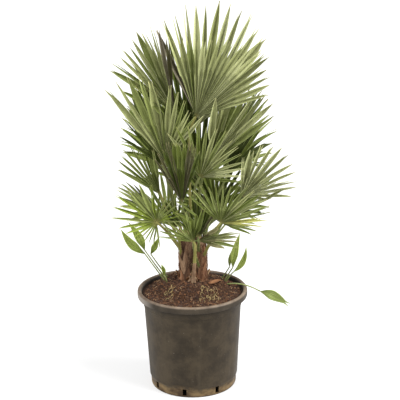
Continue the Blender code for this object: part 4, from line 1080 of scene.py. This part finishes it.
def fan_body(name, row, bends, tint_of):
    """Pleated sheet of one fan: joined round the hub, then free leaflets, some with two points."""
    body = Body()
    n = row["leaflets"]
    fold = row.get("vee", 1.10)
    first = 0.004
    shares = [(k / INNER) for k in range(INNER + 1)]
    valleys = []
    for j in range(n + 1):
        reach = split_radius(name, row, j)
        line = []
        for share in shares:
            r = first + (reach - first) * share
            line.append(body.put(valley(name, row, j, r), (0.4 * share, 1.0, r)))
        valleys.append(line)
    last = len(HALF) - 1
    for i in range(n):
        trial = bends.get((name, i))
        pts, dirs, norms, across, length = leaflet_path(name, row, i, trial or 0)
        bent = (name, i) in KINKS
        along = at if bent else spline
        rs = 0.5 * (split_radius(name, row, i) + split_radius(name, row, i + 1))
        s0 = min(rs / length, 0.8)
        lefts = [Vector(body.verts[v]) for v in valleys[i]]
        rights = [Vector(body.verts[v]) for v in valleys[i + 1]]
        tint = tint_of(i)
        # Painted light and shade: one half of each pleated leaflet gets a lighter colour and the other a darker one, on
        # top of a random tone for each leaflet.
        lit_side_contrast = 0.20 + 0.10 * wobble(name, i, 27)
        level = 1.0 + 0.12 * wobble(name, i, 28)
        tones_and_shades = (level * (1 + lit_side_contrast), level * (1 - lit_side_contrast))
        deep = fold * (1 + 0.22 * wobble(name, i, 21))
        rows = []
        for k, share in enumerate(shares):
            r = first + (rs - first) * share
            c = at(pts, s0 * r / rs)
            nn = at(norms, s0 * r / rs).normalized()
            gap = (rights[k] - lefts[k]).length * 0.5
            c = c - nn * fold * gap
            line = []
            for side, end, edge in ((-1, lefts[k], valleys[i][k]), (1, rights[k], valleys[i + 1][k])):
                for x in (reversed(HALF[1:]) if side < 0 else HALF):
                    line.append(edge if x == 1.0 else body.put(c.lerp(end, x), (0.4 * share, x, r)))
            rows.append(line)
        for a, b in zip(rows[:-1], rows[1:]):
            for c in range(2 * last):
                body.face((a[c], a[c + 1], b[c + 1], b[c]), tint, tones_and_shades[c // last])
        if trial is None:
            continue
        base = (rights[-1] - lefts[-1]).length * 0.5
        c0 = at(pts, s0)
        chance = -1.0 if bent else wobble(name, i, 22)
        fork, splay = 2.0, 0.35
        if chance > 0.36:
            fork, splay = 0.50 + 0.14 * wobble(name, i, 23), 0.06
        elif chance > -0.40:
            fork = 0.84 + 0.07 * wobble(name, i, 23)
        turn_share = wobble(name, i, 24)
        twist = math.radians(8.0 * turn_share + 26.0 * turn_share**3)
        wave = 0.0016 * wobble(name, i, 25)
        bow = 0.5 + 0.5 * wobble(name, i, 26)
        prev_l = rows[-1][:last + 1]
        prev_r = rows[-1][last:]
        for k in range(1, OUTER + 1):
            u = (k / OUTER) ** 0.92
            s = s0 + (1 - s0) * u
            d, nn = at(dirs, s).normalized(), at(norms, s).normalized()
            w = d.cross(nn).normalized()
            if w.dot(across) < 0:
                w = -w
            turn = Matrix.Rotation(twist * u, 3, d)
            w, nn = turn @ w, turn @ nn
            c = along(pts, s) + w * wave * math.sin(u * 5.0 + i) * (1 - u)
            h = leaflet_half(row, u, base)
            ease = min(u / 0.14, 1.0)
            mark = 0.4 + 0.6 * u
            halves = []
            for side, start in ((-1, lefts[-1]), (1, rights[-1])):
                line = []
                for x in HALF:
                    if u > fork:
                        v = (u - fork) / (1 - fork)
                        hb = leaflet_half(row, fork, base)
                        out = hb * (0.5 + splay * v) + (2 * x - 1) * hb * 0.5 * max(1 - v, 0.04) ** 0.8
                        sink = deep * hb * (1 - 0.5 * v) * (1 - x) * (1 - 0.6 * v)
                    else:
                        out = h * x
                        sink = deep * h * (1 - x) * (1 + 0.35 * bow * x)
                    p = c + w * side * out - nn * sink
                    if ease < 1.0:
                        p = p + ((start - c0) * x - w * side * base * x) * (1 - ease) ** 2
                    line.append((p, (mark, x, s * length)))
                halves.append(line)
            middle = None if u > fork else body.put(*halves[0][0])
            new_l = [body.put(*halves[0][x]) for x in range(last, 0, -1)]
            new_r = [body.put(*halves[1][x]) for x in range(1, last + 1)]
            if middle is None:
                new_l = new_l + [body.put(*halves[0][0])]
                new_r = [body.put(*halves[1][0])] + new_r
            else:
                new_l, new_r = new_l + [middle], [middle] + new_r
            for a, b, tone_and_shade in ((prev_l, new_l, tones_and_shades[0]), (prev_r, new_r, tones_and_shades[1])):
                for c in range(last):
                    body.face((a[c], a[c + 1], b[c + 1], b[c]), tint, tone_and_shade)
            prev_l, prev_r = new_l, new_r
    return body


def stalk_body(name, row, look="stalk_shade", spines=True):
    """Leaf stalk: flat above, round below, with small thorns, wider and brown where it clasps the stem."""
    body = Body()
    count, sides = 30, 14
    points = stalk_curve(row, count)
    mid, normal, side_way = axes(row)
    points.append(Vector(row["hub"]) + mid * 0.002)
    front = normal
    frames = []
    for k in range(len(points) - 1, -1, -1):
        ahead = points[min(k + 1, len(points) - 1)] - points[max(k - 1, 0)]
        t = ahead.normalized()
        front = (front - t * front.dot(t)).normalized()
        frames.append((points[k], t, front.copy(), t.cross(front)))
    frames.reverse()
    soil_seat = row["seat"][0] == "soil"
    base = STALK_BASE * (1.45 if soil_seat else 1.0)
    foot_look, foot_share = ("bark_tan", 0.42) if soil_seat else ("stalk_base", 0.10)
    rings = []
    for k, (p, t, up, across) in enumerate(frames):
        s = k / (len(frames) - 1)
        r = base + (STALK_TIP - base) * s**0.8
        clasp = max(0.0, 1 - s / 0.16) ** 1.5
        wide, deep = r * (1 + 0.55 * clasp), r * (0.86 - 0.15 * clasp)
        if k == len(frames) - 1:
            wide, deep = r * 0.8, r * 0.4
        ring = []
        for j in range(sides):
            a = 2 * math.pi * j / sides
            y = math.sin(a)
            q = p + across * math.cos(a) * wide + up * (y * deep * (0.42 if y > 0 else 1.0))
            ring.append(body.put(q, (s, 0.5, 0.05)))
        rings.append(ring)
    for k, (a, b) in enumerate(zip(rings[:-1], rings[1:])):
        s = k / (len(rings) - 1)
        for j in range(sides):
            n = (j + 1) % sides
            body.face((a[j], a[n], b[n], b[j]), foot_look if s < foot_share else look)
    body.face(reversed(rings[0]), foot_look)
    body.face(rings[-1], look)
    if spines:
        for m in range(22):
            s = 0.12 + 0.66 * (m + 0.5 * (1 + wobble(name, m, 31))) / 22
            p, t, up, across = frames[int(s * (len(frames) - 1))]
            hand = 1 if m % 2 else -1
            r = base + (STALK_TIP - base) * s**0.8
            foot = p + across * hand * r * 0.9
            reach = 0.0022 + 0.0008 * wobble(name, m, 32)
            rod(body, [foot, foot + across * hand * reach * 0.6 + t * reach * 0.2,
                       foot + across * hand * reach + t * reach * 0.7], 0.0007, "thorn", 3, 0.15)
    return body


# Young strap leaves
def strap_body(name, row):
    """Pleated lance-shaped blade on a thin round stalk; the trailing one has a forked tip."""
    stalk_pts, blade_pts = strap_points(row)
    tint = "young_dark" if name == "young_trailing" else "young_bright" if "right" in name else "young"
    body = Body()
    body_stalk = [spline(stalk_pts + blade_pts[:1], k / 14) for k in range(15)]
    shares = (0.16, 0.64, 1.0, 0.86, 0.46, 0.0)
    columns = 12
    face = math.radians(row["face"])
    want = Vector((math.sin(face), -math.cos(face), 0.35)).normalized()
    fork = 0.86 if name == "young_trailing" else 2.0
    count = 26

    def width(t):
        x = t * 5
        k = min(int(x), 4)
        a, b = shares[k], shares[k + 1]
        before, after = shares[max(k - 1, 0)], shares[min(k + 2, 5)]
        u = x - k
        m0, m1 = (b - before) * 0.5, (after - a) * 0.5
        return max(a * (2*u**3 - 3*u*u + 1) + m0 * (u**3 - 2*u*u + u) + b * (3*u*u - 2*u**3)
                   + m1 * (u**3 - u*u), 0.012)

    prev = None
    for k in range(count + 1):
        t = k / count
        c = spline(blade_pts, t)
        d = (spline(blade_pts, min(t + 0.02, 1.0)) - spline(blade_pts, max(t - 0.02, 0.0))).normalized()
        nn = (want - d * want.dot(d)).normalized()
        w = d.cross(nn)
        h = row["half"] * width(t)
        line = []
        for side in (-1, 1):
            for j in range(columns // 2 + 1):
                x = j / (columns // 2)
                if side < 0:
                    x = 1 - x
                if t > fork:
                    v = (t - fork) / (1 - fork)
                    hb = row["half"] * width(fork)
                    out = hb * (0.5 + 0.7 * v) + (2 * x - 1) * hb * 0.5 * max(1 - v, 0.05) ** 0.7
                else:
                    out = h * x
                pleat = 0.0011 * (1 if round(x * columns / 2) % 2 else -1) * min(h / 0.006, 1.0) * math.sin(math.pi * t) ** 0.5
                line.append((c + w * side * out + nn * (pleat - 0.30 * h * (1 - x)), (0.35 + 0.55 * t, x, 0.05)))
        half = columns // 2 + 1
        if t > fork:
            now = [body.put(*p) for p in line]
        else:
            left = [body.put(*p) for p in line[:half]]
            now = left + [left[-1]] + [body.put(*p) for p in line[half + 1:]]
        if prev:
            for c2 in [*range(half - 1), *range(half, 2 * half - 1)]:
                body.face((prev[c2], prev[c2 + 1], now[c2 + 1], now[c2]), tint)
        prev = now
    body.thicken(0.0007, lambda look: "young_under")
    stem = Body()
    rod(stem, body_stalk, 0.0024, "stalk_young", 8, 0.80)
    body.add(stem)
    return body


BARK = ("bark_red", "bark_dark", "bark_red", "bark_tan", "bark_red", "bark_dark", "bark_dark")


# Stems: fibre-clad core, overlapping old leaf bases and loose strands
def stem_body(name, row):
    body = Body()
    sides, levels = 56, 60
    foot = Vector((row["foot"][0], row["foot"][1], MOUND_Z - 0.006))
    top = Vector(row["top"])
    seed = len(name) * 7.3

    def core(a, t):
        r = row["r0"] + (row["r1"] - row["r0"]) * min(t * 1.6, 1.0) + 0.005 * max(0.0, 0.16 - t) / 0.16
        p = Vector((math.cos(a) * 1.7, math.sin(a) * 1.7, t * 1.6 + seed))
        q = Vector((math.cos(a) * 9.0, math.sin(a) * 9.0, t * 5.0 + seed))
        return r + 0.0022 * noise.noise(p * 2.2) + 0.0016 * noise.noise(q)

    def spot(a, t, extra=0.0):
        c = foot.lerp(top, t)
        r = core(a, t) + extra
        return Vector((c.x + r * math.cos(a), c.y + r * math.sin(a), c.z))

    rings = []
    for k in range(levels):
        t = k / (levels - 1)
        rings.append([body.put(spot(2 * math.pi * j / sides, t)) for j in range(sides)])
    for k, (a, b) in enumerate(zip(rings[:-1], rings[1:])):
        for j in range(sides):
            n = (j + 1) % sides
            body.face((a[j], a[n], b[n], b[j]), "bark_dark")
    body.face(reversed(rings[0]), "bark_dark")
    tip = body.put(top + Vector((0, 0, 0.004)))
    for j in range(sides):
        body.face((rings[-1][j], rings[-1][(j + 1) % sides], tip), "bark_dark")

    height = top.z - foot.z
    scales = row["boots"] * 2 + 6
    for k in range(scales):
        at_t = 0.14 + 0.88 * (k + 0.5) / scales
        at_a = k * 2.39996 + (0.6 if name == "stem_main" else 0.2)
        tall = 0.046 + 0.012 * wobble(name, k, 41)
        open_a = 0.62 + 0.16 * wobble(name, k, 42)
        stand = 0.0046 + 0.0026 * wobble(name, k, 43)
        look = BARK[int((0.5 + 0.499 * wobble(name, k, 44)) * len(BARK))]
        plate = Body()
        rows, across = 9, 9
        grid = []
        for m in range(rows):
            v = m / (rows - 1)
            line = []
            for j in range(across):
                x = 2 * j / (across - 1) - 1
                ragged = 0.10 * wobble(name, k * 13 + j, 45) * (m == rows - 1)
                narrow = 1 - 0.45 * v**1.5
                t = at_t + (v * (1 - 0.35 * x * x) - 1 + ragged) * tall / height
                extra = 0.0008 + stand * v**1.6 * (1 - 0.5 * x * x) + 0.0005 * math.cos(x * 16.0)
                line.append(plate.put(spot(at_a + x * open_a * narrow, min(max(t, 0.0), 1.06), extra)))
            grid.append(line)
        for a, b in zip(grid[:-1], grid[1:]):
            for j in range(across - 1):
                plate.face((a[j], a[j + 1], b[j + 1], b[j]), look)
        body.add(plate.thicken(0.0016, lambda look: look))

    for k in range(300):
        a = math.pi * wobble(name, k, 51)
        t = 0.46 + 0.46 * wobble(name, k, 52)
        climb = (0.036 + 0.020 * wobble(name, k, 53)) / height
        sweep = 0.55 * wobble(name, k, 54)
        loose = 0.0035 * max(wobble(name, k, 55), 0.0) ** 2
        pts = [spot(a + sweep * v, min(t + climb * v, 1.05), 0.0022 + 0.0035 * math.sin(v * 2.8) + loose * v * 3)
               for v in (0, 0.2, 0.4, 0.6, 0.8, 1.0)]
        rod(body, pts, 0.00036, "fibre_pale" if k % 7 == 0 else "fibre_brown", 3, 0.4)
    return body


# Soil: a mound of peat with bark chips, fibres and rootlets
def soil_bump(x, y):
    p = Vector((x, y, 0.0))
    return 0.0032 * noise.noise(p * 62.0) + 0.0020 * noise.noise(p * 170.0) + 0.0010 * noise.noise(p * 420.0)


def soil_body():
    body = Body()
    rings, sides = 64, 150
    edge_r = WALL_TOP_RADIUS - WALL + 0.0045
    grid = []
    middle = body.put((0.0, MOUND_Y, soil_height(0.0, MOUND_Y) + soil_bump(0.0, MOUND_Y)))
    for k in range(1, rings + 1):
        share = k / rings
        line = []
        for j in range(sides):
            a = 2 * math.pi * j / sides
            cx, cy = 0.0, MOUND_Y * (1 - share)
            x, y = cx + edge_r * share * math.cos(a), cy + edge_r * share * math.sin(a)
            z = soil_height(x, y) + soil_bump(x, y) * (1.0 if k < rings else 0.2)
            line.append(body.put((x, y, z)))
        grid.append(line)
    for j in range(sides):
        body.face((middle, grid[0][j], grid[0][(j + 1) % sides]), "peat")
    for a, b in zip(grid[:-1], grid[1:]):
        for j in range(sides):
            n = (j + 1) % sides
            body.face((a[j], b[j], b[n], a[n]), "peat")
    low = [body.put((edge_r * 0.97 * math.cos(2 * math.pi * j / sides),
                     edge_r * 0.97 * math.sin(2 * math.pi * j / sides), 0.290)) for j in range(sides)]
    for j in range(sides):
        n = (j + 1) % sides
        body.face((grid[-1][j], low[j], low[n], grid[-1][n]), "peat")
    body.face(reversed(low), "peat")
    return body


def chips_body():
    body = Body()
    kinds = ("chip_dark", "chip_brown", "chip_brown", "chip_red", "chip_brown", "chip_red", "chip_dark", "chip_brown",
             "chip_tan")
    for k in range(4200):
        r = (WALL_TOP_RADIUS - 0.006) * math.sqrt(0.5 + 0.5 * wobble("chips", k, 1))
        a = math.pi * wobble("chips", k, 2)
        x, y = r * math.cos(a), r * math.sin(a)
        size = 0.0011 + 0.0022 * (0.5 + 0.5 * wobble("chips", k, 3)) ** 4
        long = size * (1.2 + 1.0 * (0.5 + 0.5 * wobble("chips", k, 4)) ** 2)
        flat = size * (0.35 + 0.2 * wobble("chips", k, 5))
        spin = Matrix.Rotation(math.pi * wobble("chips", k, 6), 3, "Z")
        tip = Matrix.Rotation(0.6 * wobble("chips", k, 7), 3, "X") @ Matrix.Rotation(0.6 * wobble("chips", k, 8), 3, "Y")
        at_point = Vector((x, y, soil_height(x, y) + soil_bump(x, y) + flat * 0.5))
        look = kinds[int((0.5 + 0.499 * wobble("chips", k, 9)) * len(kinds))]
        ring_low, ring_high = [], []
        for j in range(6):
            b = 2 * math.pi * j / 6
            rough = 1 + 0.25 * wobble("chips", k * 7 + j, 10)
            p = Vector((long * math.cos(b) * rough, size * math.sin(b) * rough, -flat))
            q = Vector((long * math.cos(b) * rough * 0.8, size * math.sin(b) * rough * 0.75, flat))
            ring_low.append(body.put(at_point + spin @ tip @ p))
            ring_high.append(body.put(at_point + spin @ tip @ q))
        for j in range(6):
            n = (j + 1) % 6
            body.face((ring_low[j], ring_low[n], ring_high[n], ring_high[j]), look)
        body.face(reversed(ring_low), look)
        body.face(ring_high, look)
    return body


def litter_body():
    """Rootlets, fibres and shed bits on the soil."""
    body = Body()
    for k in range(260):
        front_left = k % 3 == 0
        if k < 54:
            cx, cy = (-0.074, -0.052) if front_left else (0.056, -0.064)
            x = cx + (0.014 if front_left else 0.030) * wobble("roots", k, 1)
            y = cy + 0.026 * wobble("roots", k, 2)
            look, radius, reach = "rootlet", 0.00055, 0.011
        else:
            r = 0.145 * math.sqrt(0.5 + 0.5 * wobble("roots", k, 3))
            a = math.pi * wobble("roots", k, 4)
            x, y = r * math.cos(a), r * math.sin(a)
            look, radius, reach = ("fibre_brown", "fibre_brown", "husk", "fibre_pale")[k % 4], 0.00045, 0.012
        spin = math.pi * wobble("roots", k, 5)
        curl = 2.6 * wobble("roots", k, 6)
        pts = []
        for m in range(7):
            v = m / 6
            a = spin + curl * v
            px, py = x + reach * v * math.cos(a), y + reach * v * math.sin(a)
            pts.append(Vector((px, py, soil_height(px, py) + 0.0016 + 0.0035 * math.sin(v * math.pi)
                               + 0.002 * wobble("roots", k, 7) * v)))
        rod(body, pts, radius, look, 4, 0.5)
    return body


def shard(body, name, k, centre, way, rise, long, wide, look, curl=0.4):
    """Curved husk plate lying or leaning on the soil."""
    plate = Body()
    d = Vector((math.cos(way), math.sin(way), rise)).normalized()
    across = Vector((-math.sin(way), math.cos(way), 0.0))
    up = across.cross(d) * -1
    if up.z < 0:
        up = -up
    grid = []
    for m in range(9):
        v = m / 8
        line = []
        for j in range(7):
            x = j / 3 - 1
            h = wide * (0.45 + 0.55 * math.sin(math.pi * (0.15 + 0.80 * v))) * (1 - 0.6 * v**3)
            jag = 0.06 * wobble(name, k * 9 + j, 61) * (m in (0, 8))
            p = centre + d * long * (v + jag) + across * x * h + up * (curl * h * x * x + 0.12 * long * v * (1 - v))
            line.append(plate.put(p))
        grid.append(line)
    for a, b in zip(grid[:-1], grid[1:]):
        for j in range(6):
            plate.face((a[j], a[j + 1], b[j + 1], b[j]), look)
    body.add(plate.thicken(0.0012, lambda look: look))


def foot_husks():
    """Pale and orange old leaf bases round the feet of the stems."""
    body = Body()
    for k in range(26):
        name = ("stem_main", "stem_right", "stem_back")[k % 3]
        row = STEMS[name]
        a = math.pi * wobble("foot", k, 1)
        r = row["r0"] + 0.004
        x, y = row["foot"][0] + r * math.cos(a), row["foot"][1] + r * math.sin(a)
        centre = Vector((x, y, soil_height(x, y) + 0.001))
        leaning = 1.2 + 1.3 * wobble("foot", k, 2)
        look = ("husk", "bark_tan", "bark_red", "husk", "fibre_pale")[int(2.5 + 2.49 * wobble("foot", k, 3))]
        shard(body, "foot", k, centre, a + 0.5 * wobble("foot", k, 4), leaning, 0.026 + 0.010 * wobble("foot", k, 5),
              0.0060 + 0.002 * wobble("foot", k, 6), look)
    return body


def husk_body():
    body = Body()
    pts = [Vector(p) for p in HUSK["points"]]
    sheet = Body()
    grid = []
    for m in range(15):
        v = m / 14
        p = spline(pts, v)
        d = (spline(pts, min(v + 0.05, 1)) - spline(pts, max(v - 0.05, 0))).normalized()
        up = (Vector((0, 0, 1)) - d * d.z).normalized()
        w = d.cross(up)
        x = v * 3
        k = min(int(x), 2)
        h = HUSK["halves"][k] * (1 - (x - k)) + HUSK["halves"][k + 1] * (x - k)
        line = []
        for j in range(9):
            s = j / 4 - 1
            rip = 0.0006 * wobble("husk", m * 9 + j, 1)
            line.append(sheet.put(p + w * h * s + up * (h * 0.5 * s * s + 0.0012 + rip)))
        grid.append(line)
    for a, b in zip(grid[:-1], grid[1:]):
        for j in range(8):
            sheet.face((a[j], a[j + 1], b[j + 1], b[j]), "husk")
    body.add(sheet.thicken(0.0016, lambda look: "chip_red"))
    return body


# Pot
def pot_body():
    sides = 160
    lip_z = POT_HEIGHT - LIP_DROP
    top = POT_HEIGHT
    wall_top = WALL_TOP_RADIUS
    band = FOOT_RADIUS + 0.0012
    profile = [
        (0.0, 0.0), (FOOT_RADIUS - 0.030, 0.0), (FOOT_RADIUS - 0.006, 0.0), (FOOT_RADIUS - 0.0015, 0.0012),
        (FOOT_RADIUS - 0.0003, 0.0035), (FOOT_RADIUS, 0.006), (band - 0.0002, FOOT_BAND - 0.001),
        (band + 0.0010, FOOT_BAND + 0.0010), (band + 0.0026, FOOT_BAND + 0.0030),
        (band + 0.0032, FOOT_BAND + 0.0060), (wall_top - 0.0030, lip_z - 0.030), (wall_top - 0.0026, lip_z - 0.0265),
        (wall_top - 0.0008, lip_z - 0.0250), (wall_top - 0.0004, lip_z - 0.0215), (wall_top, lip_z - 0.0060),
        (wall_top + 0.0012, lip_z - 0.0025), (wall_top + 0.0042, lip_z), (RIM_RADIUS - 0.0040, lip_z + 0.0010),
        (RIM_RADIUS - 0.0012, lip_z + 0.0022), (RIM_RADIUS - 0.0002, lip_z + 0.0048), (RIM_RADIUS, lip_z + 0.0090),
        (RIM_RADIUS - 0.0002, top - 0.0070), (RIM_RADIUS - 0.0012, top - 0.0032), (RIM_RADIUS - 0.0036, top - 0.0008),
        (RIM_RADIUS - 0.0066, top), (RIM_RADIUS - 0.0096, top - 0.0008), (RIM_RADIUS - 0.0122, top - 0.0032),
        (wall_top - WALL + 0.0042, lip_z + 0.0080), (wall_top - WALL + 0.0010, lip_z), (wall_top - WALL, lip_z - 0.005),
        (band - WALL, FOOT_BAND), (FOOT_RADIUS - WALL - 0.002, FLOOR), (0.0, FLOOR),
    ]
    verts, faces = lathe(profile, sides)
    mesh = bpy.data.meshes.new("pot_shell")
    mesh.from_pydata([tuple(v) for v in verts], [], faces)
    bm = bmesh.new()
    bm.from_mesh(mesh)
    bmesh.ops.recalc_face_normals(bm, faces=bm.faces)
    bm.to_mesh(mesh)
    bm.free()
    shell = bpy.data.objects.new("pot_shell", mesh)
    scene.collection.objects.link(shell)
    verts, faces = [], []
    for k in range(SLOTS):
        a = 2 * math.pi * (k + 0.5) / SLOTS + math.radians(10)
        out, along = Vector((math.cos(a), math.sin(a), 0)), Vector((-math.sin(a), math.cos(a), 0))
        base = len(verts)
        for r in (FOOT_RADIUS - 0.012, FOOT_RADIUS + 0.010):
            for s in (-1, 1):
                for z in (0.0065, 0.0065 + SLOT_HEIGHT):
                    verts.append(out * r + along * s * SLOT_WIDTH / 2 + Vector((0, 0, z)))
        for f in ((0, 1, 3, 2), (4, 6, 7, 5), (0, 4, 5, 1), (2, 3, 7, 6), (0, 2, 6, 4), (1, 5, 7, 3)):
            faces.append(tuple(base + i for i in f))
    tool_mesh = bpy.data.meshes.new("slot_tool")
    tool_mesh.from_pydata([tuple(v) for v in verts], [], faces)
    bm = bmesh.new()
    bm.from_mesh(tool_mesh)
    bmesh.ops.recalc_face_normals(bm, faces=bm.faces)
    bm.to_mesh(tool_mesh)
    bm.free()
    tool = bpy.data.objects.new("slot_tool", tool_mesh)
    scene.collection.objects.link(tool)
    mod = shell.modifiers.new("slots", "BOOLEAN")
    mod.operation, mod.solver, mod.object = "DIFFERENCE", "EXACT", tool
    bpy.context.view_layer.update()
    cut_mesh = bpy.data.meshes.new_from_object(shell.evaluated_get(bpy.context.evaluated_depsgraph_get()))
    shell.modifiers.clear()
    shell.data = cut_mesh
    bpy.data.objects.remove(tool, do_unlink=True)
    cut_mesh.materials.clear()
    cut_mesh.materials.append(looks["pot"])
    cut_mesh.polygons.foreach_set("material_index", [0] * len(cut_mesh.polygons))
    cut_mesh.shade_smooth()
    cut_mesh.set_sharp_from_angle(angle=math.radians(40))
    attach(shell, "root")
    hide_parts("pot")


# Tints dealt out by frond
PALETTES = {
    "top_front": ("sage", "sage_pale", "sage", "sage_green", "sage"),
    "top_left": ("sage", "sage_green", "sage", "sage_pale", "sage_green"),
    "top_behind": ("sage_pale", "sage_haze", "sage_pale", "sage", "sage_haze"),
    "upper_left": ("sage_green", "sage_green", "sage", "green_mid", "sage"),
    "left_dark": ("green_deep", "green_mid", "green_deep"),
    "centre_front": ("sage", "sage_pale", "sage_green", "sage", "green_mid", "sage"),
    "right_pale": ("sage", "sage_pale", "sage_green", "sage"),
    "right_dark": ("green_deep", "green_deep", "green_mid"),
    "right_out": ("sage_pale", "sage", "sage_pale", "sage_haze"),
    "lower_right": ("sage_green", "green_mid", "sage", "green_mid", "sage_green"),
    "lower_left": ("green_mid", "sage_green", "green_bright", "sage_green"),
    "left_out": ("green_mid", "sage_green", "green_mid"),
    "centre_folded": ("green_deep", "green_mid", "olive_dark"),
    "front_low": ("sage_green", "green_mid", "green_mid"),
    "low_left": ("green_mid", "green_bright", "green_deep"),
    "low_right": ("sage_green", "sage", "olive_pale", "sage_green"),
    "front_mid": ("green_deep", "green_mid", "green_deep", "olive_dark"),
    "centre_low": ("green_deep", "green_mid", "green_deep"),
    "centre_behind": ("green_deep", "green_mid", "green_deep"),
    "right_inner": ("green_deep", "green_mid"),
}

LOW_STALKS = ("front_low", "low_left", "lower_left", "lower_right", "left_out", "top_front")
BEHIND = ("green_mid", "sage_green", "green_deep", "sage_green", "green_mid")
# The plum-grey and dark olive leaflets of top_left and top_behind are painted shade between the top fronds.
SPECIAL = {("lower_right", 14): "leaf_yellow", ("lower_right", 15): "leaf_yellow",
           ("top_left", 9): "plum_grey", ("top_left", 10): "olive_dark", ("top_behind", 0): "plum_grey",
           ("upper_left", 11): "sage_pale"}


def build_scene():
    looks["stalk_young"] = rough_look("stalk_young", (0.150, 0.180, 0.060), (0.240, 0.270, 0.100), 40.0, 0.5)
    bends = choose_bends()
    pot_body()
    soil_body().piece("soil_top", "soil", "potting_soil")
    chips_body().piece("soil_chips", None, "potting_soil", smooth=False)
    litter_body().piece("soil_litter", None, "leaf_husk")
    husk_body().piece("shed_husk", "fallen_husk", "leaf_husk")
    foot_husks().piece("foot_husks", None, "leaf_husk")
    for name, row in STEMS.items():
        stem_body(name, row).piece("bark_" + name[5:], name, "stem_bark", angle=50)
    for name, row in STRAPS.items():
        strap_body(name, row).piece(name + "_leaf", name, "young_leaf", angle=20, leaf=True)
    for name, row in FRONDS.items():
        palette = PALETTES.get(name, BEHIND)

        def tint_of(i):
            return SPECIAL.get((name, i)) or palette[int((0.5 + 0.499 * wobble(name, i, 61)) * len(palette))]

        # Fronds at the back of the crown and the dark fronds get the much darker underside tint as painted shade.
        dark = row.get("fused") or name.endswith("dark")
        fan = fan_body(name, row, bends, tint_of)
        fan.thicken(0.0007, lambda look: "under_dark" if dark else "under_pale")
        slot = "blade_dark" if dark else "blade_green"
        if row.get("fused"):
            fan.add(stalk_body(name, row))
            fan.piece("frond_" + name + "_fine", "frond_" + name, slot, leaf=True)
        else:
            fan.piece("blade_" + name, "fan_" + name, slot, leaf=True)
            low = name in LOW_STALKS
            stalk_body(name, row, "stalk_green" if low else "stalk_shade").piece(
                "petiole_" + name, "stalk_" + name, "leaf_stalk", angle=40)


# Stage, light and camera
def make_stage():
    mesh = bpy.data.meshes.new("floor")
    mesh.from_pydata([(-30, -30, 0), (30, -30, 0), (30, 30, 0), (-30, 30, 0)], [], [(0, 1, 2, 3)])
    floor = bpy.data.objects.new("floor", mesh)
    scene.collection.objects.link(floor)
    mat, nodes, links, shader = new_look("floor_white", 0.9, 0.1)
    shader.inputs["Base Color"].default_value = (0.34, 0.34, 0.34, 1.0)
    shader.inputs["Emission Color"].default_value = (1.0, 1.0, 1.0, 1.0)
    shader.inputs["Emission Strength"].default_value = 0.44
    mesh.materials.append(mat)
    world = bpy.data.worlds.new("studio")
    scene.world = world
    world.use_nodes = True
    back = world.node_tree.nodes["Background"]
    back.inputs["Color"].default_value = (1.0, 1.0, 1.0, 1.0)
    back.inputs["Strength"].default_value = 0.84
    for name, place, power, soft in (("key_right", (2.7, -1.1, 2.9), 5.6, 40.0), ("key_left", (-2.6, -1.2, 3.0), 3.8, 40.0)):
        light = bpy.data.lights.new(name, "SUN")
        light.energy, light.angle = power, math.radians(soft)
        lamp = bpy.data.objects.new(name, light)
        lamp.location = place
        lamp.rotation_euler = (Vector((0, 0, 0.6)) - Vector(place)).to_track_quat("-Z", "Y").to_euler()
        scene.collection.objects.link(lamp)
    scene.view_settings.view_transform = "Standard"
    scene.view_settings.look = "None"


def make_camera():
    pitch, yaw, roll = math.radians(16.82), math.radians(0.45), math.radians(0.78)
    forward = Vector((math.sin(yaw) * math.cos(pitch), math.cos(yaw) * math.cos(pitch), -math.sin(pitch)))
    right = Vector((math.cos(yaw), -math.sin(yaw), 0))
    up = right.cross(forward)
    x_axis = right * math.cos(roll) - up * math.sin(roll)
    y_axis = right * math.sin(roll) + up * math.cos(roll)
    data = bpy.data.cameras.new("camera")
    data.lens, data.sensor_width, data.clip_end = 1205 / 400 * 36, 36, 100
    camera = bpy.data.objects.new("camera", data)
    camera.matrix_world = Matrix.Translation((0, -3.6, 1.70)) @ Matrix((x_axis, y_axis, -forward)).transposed().to_4x4()
    scene.collection.objects.link(camera)
    scene.camera = camera


make_camera()
make_stage()
build_scene()
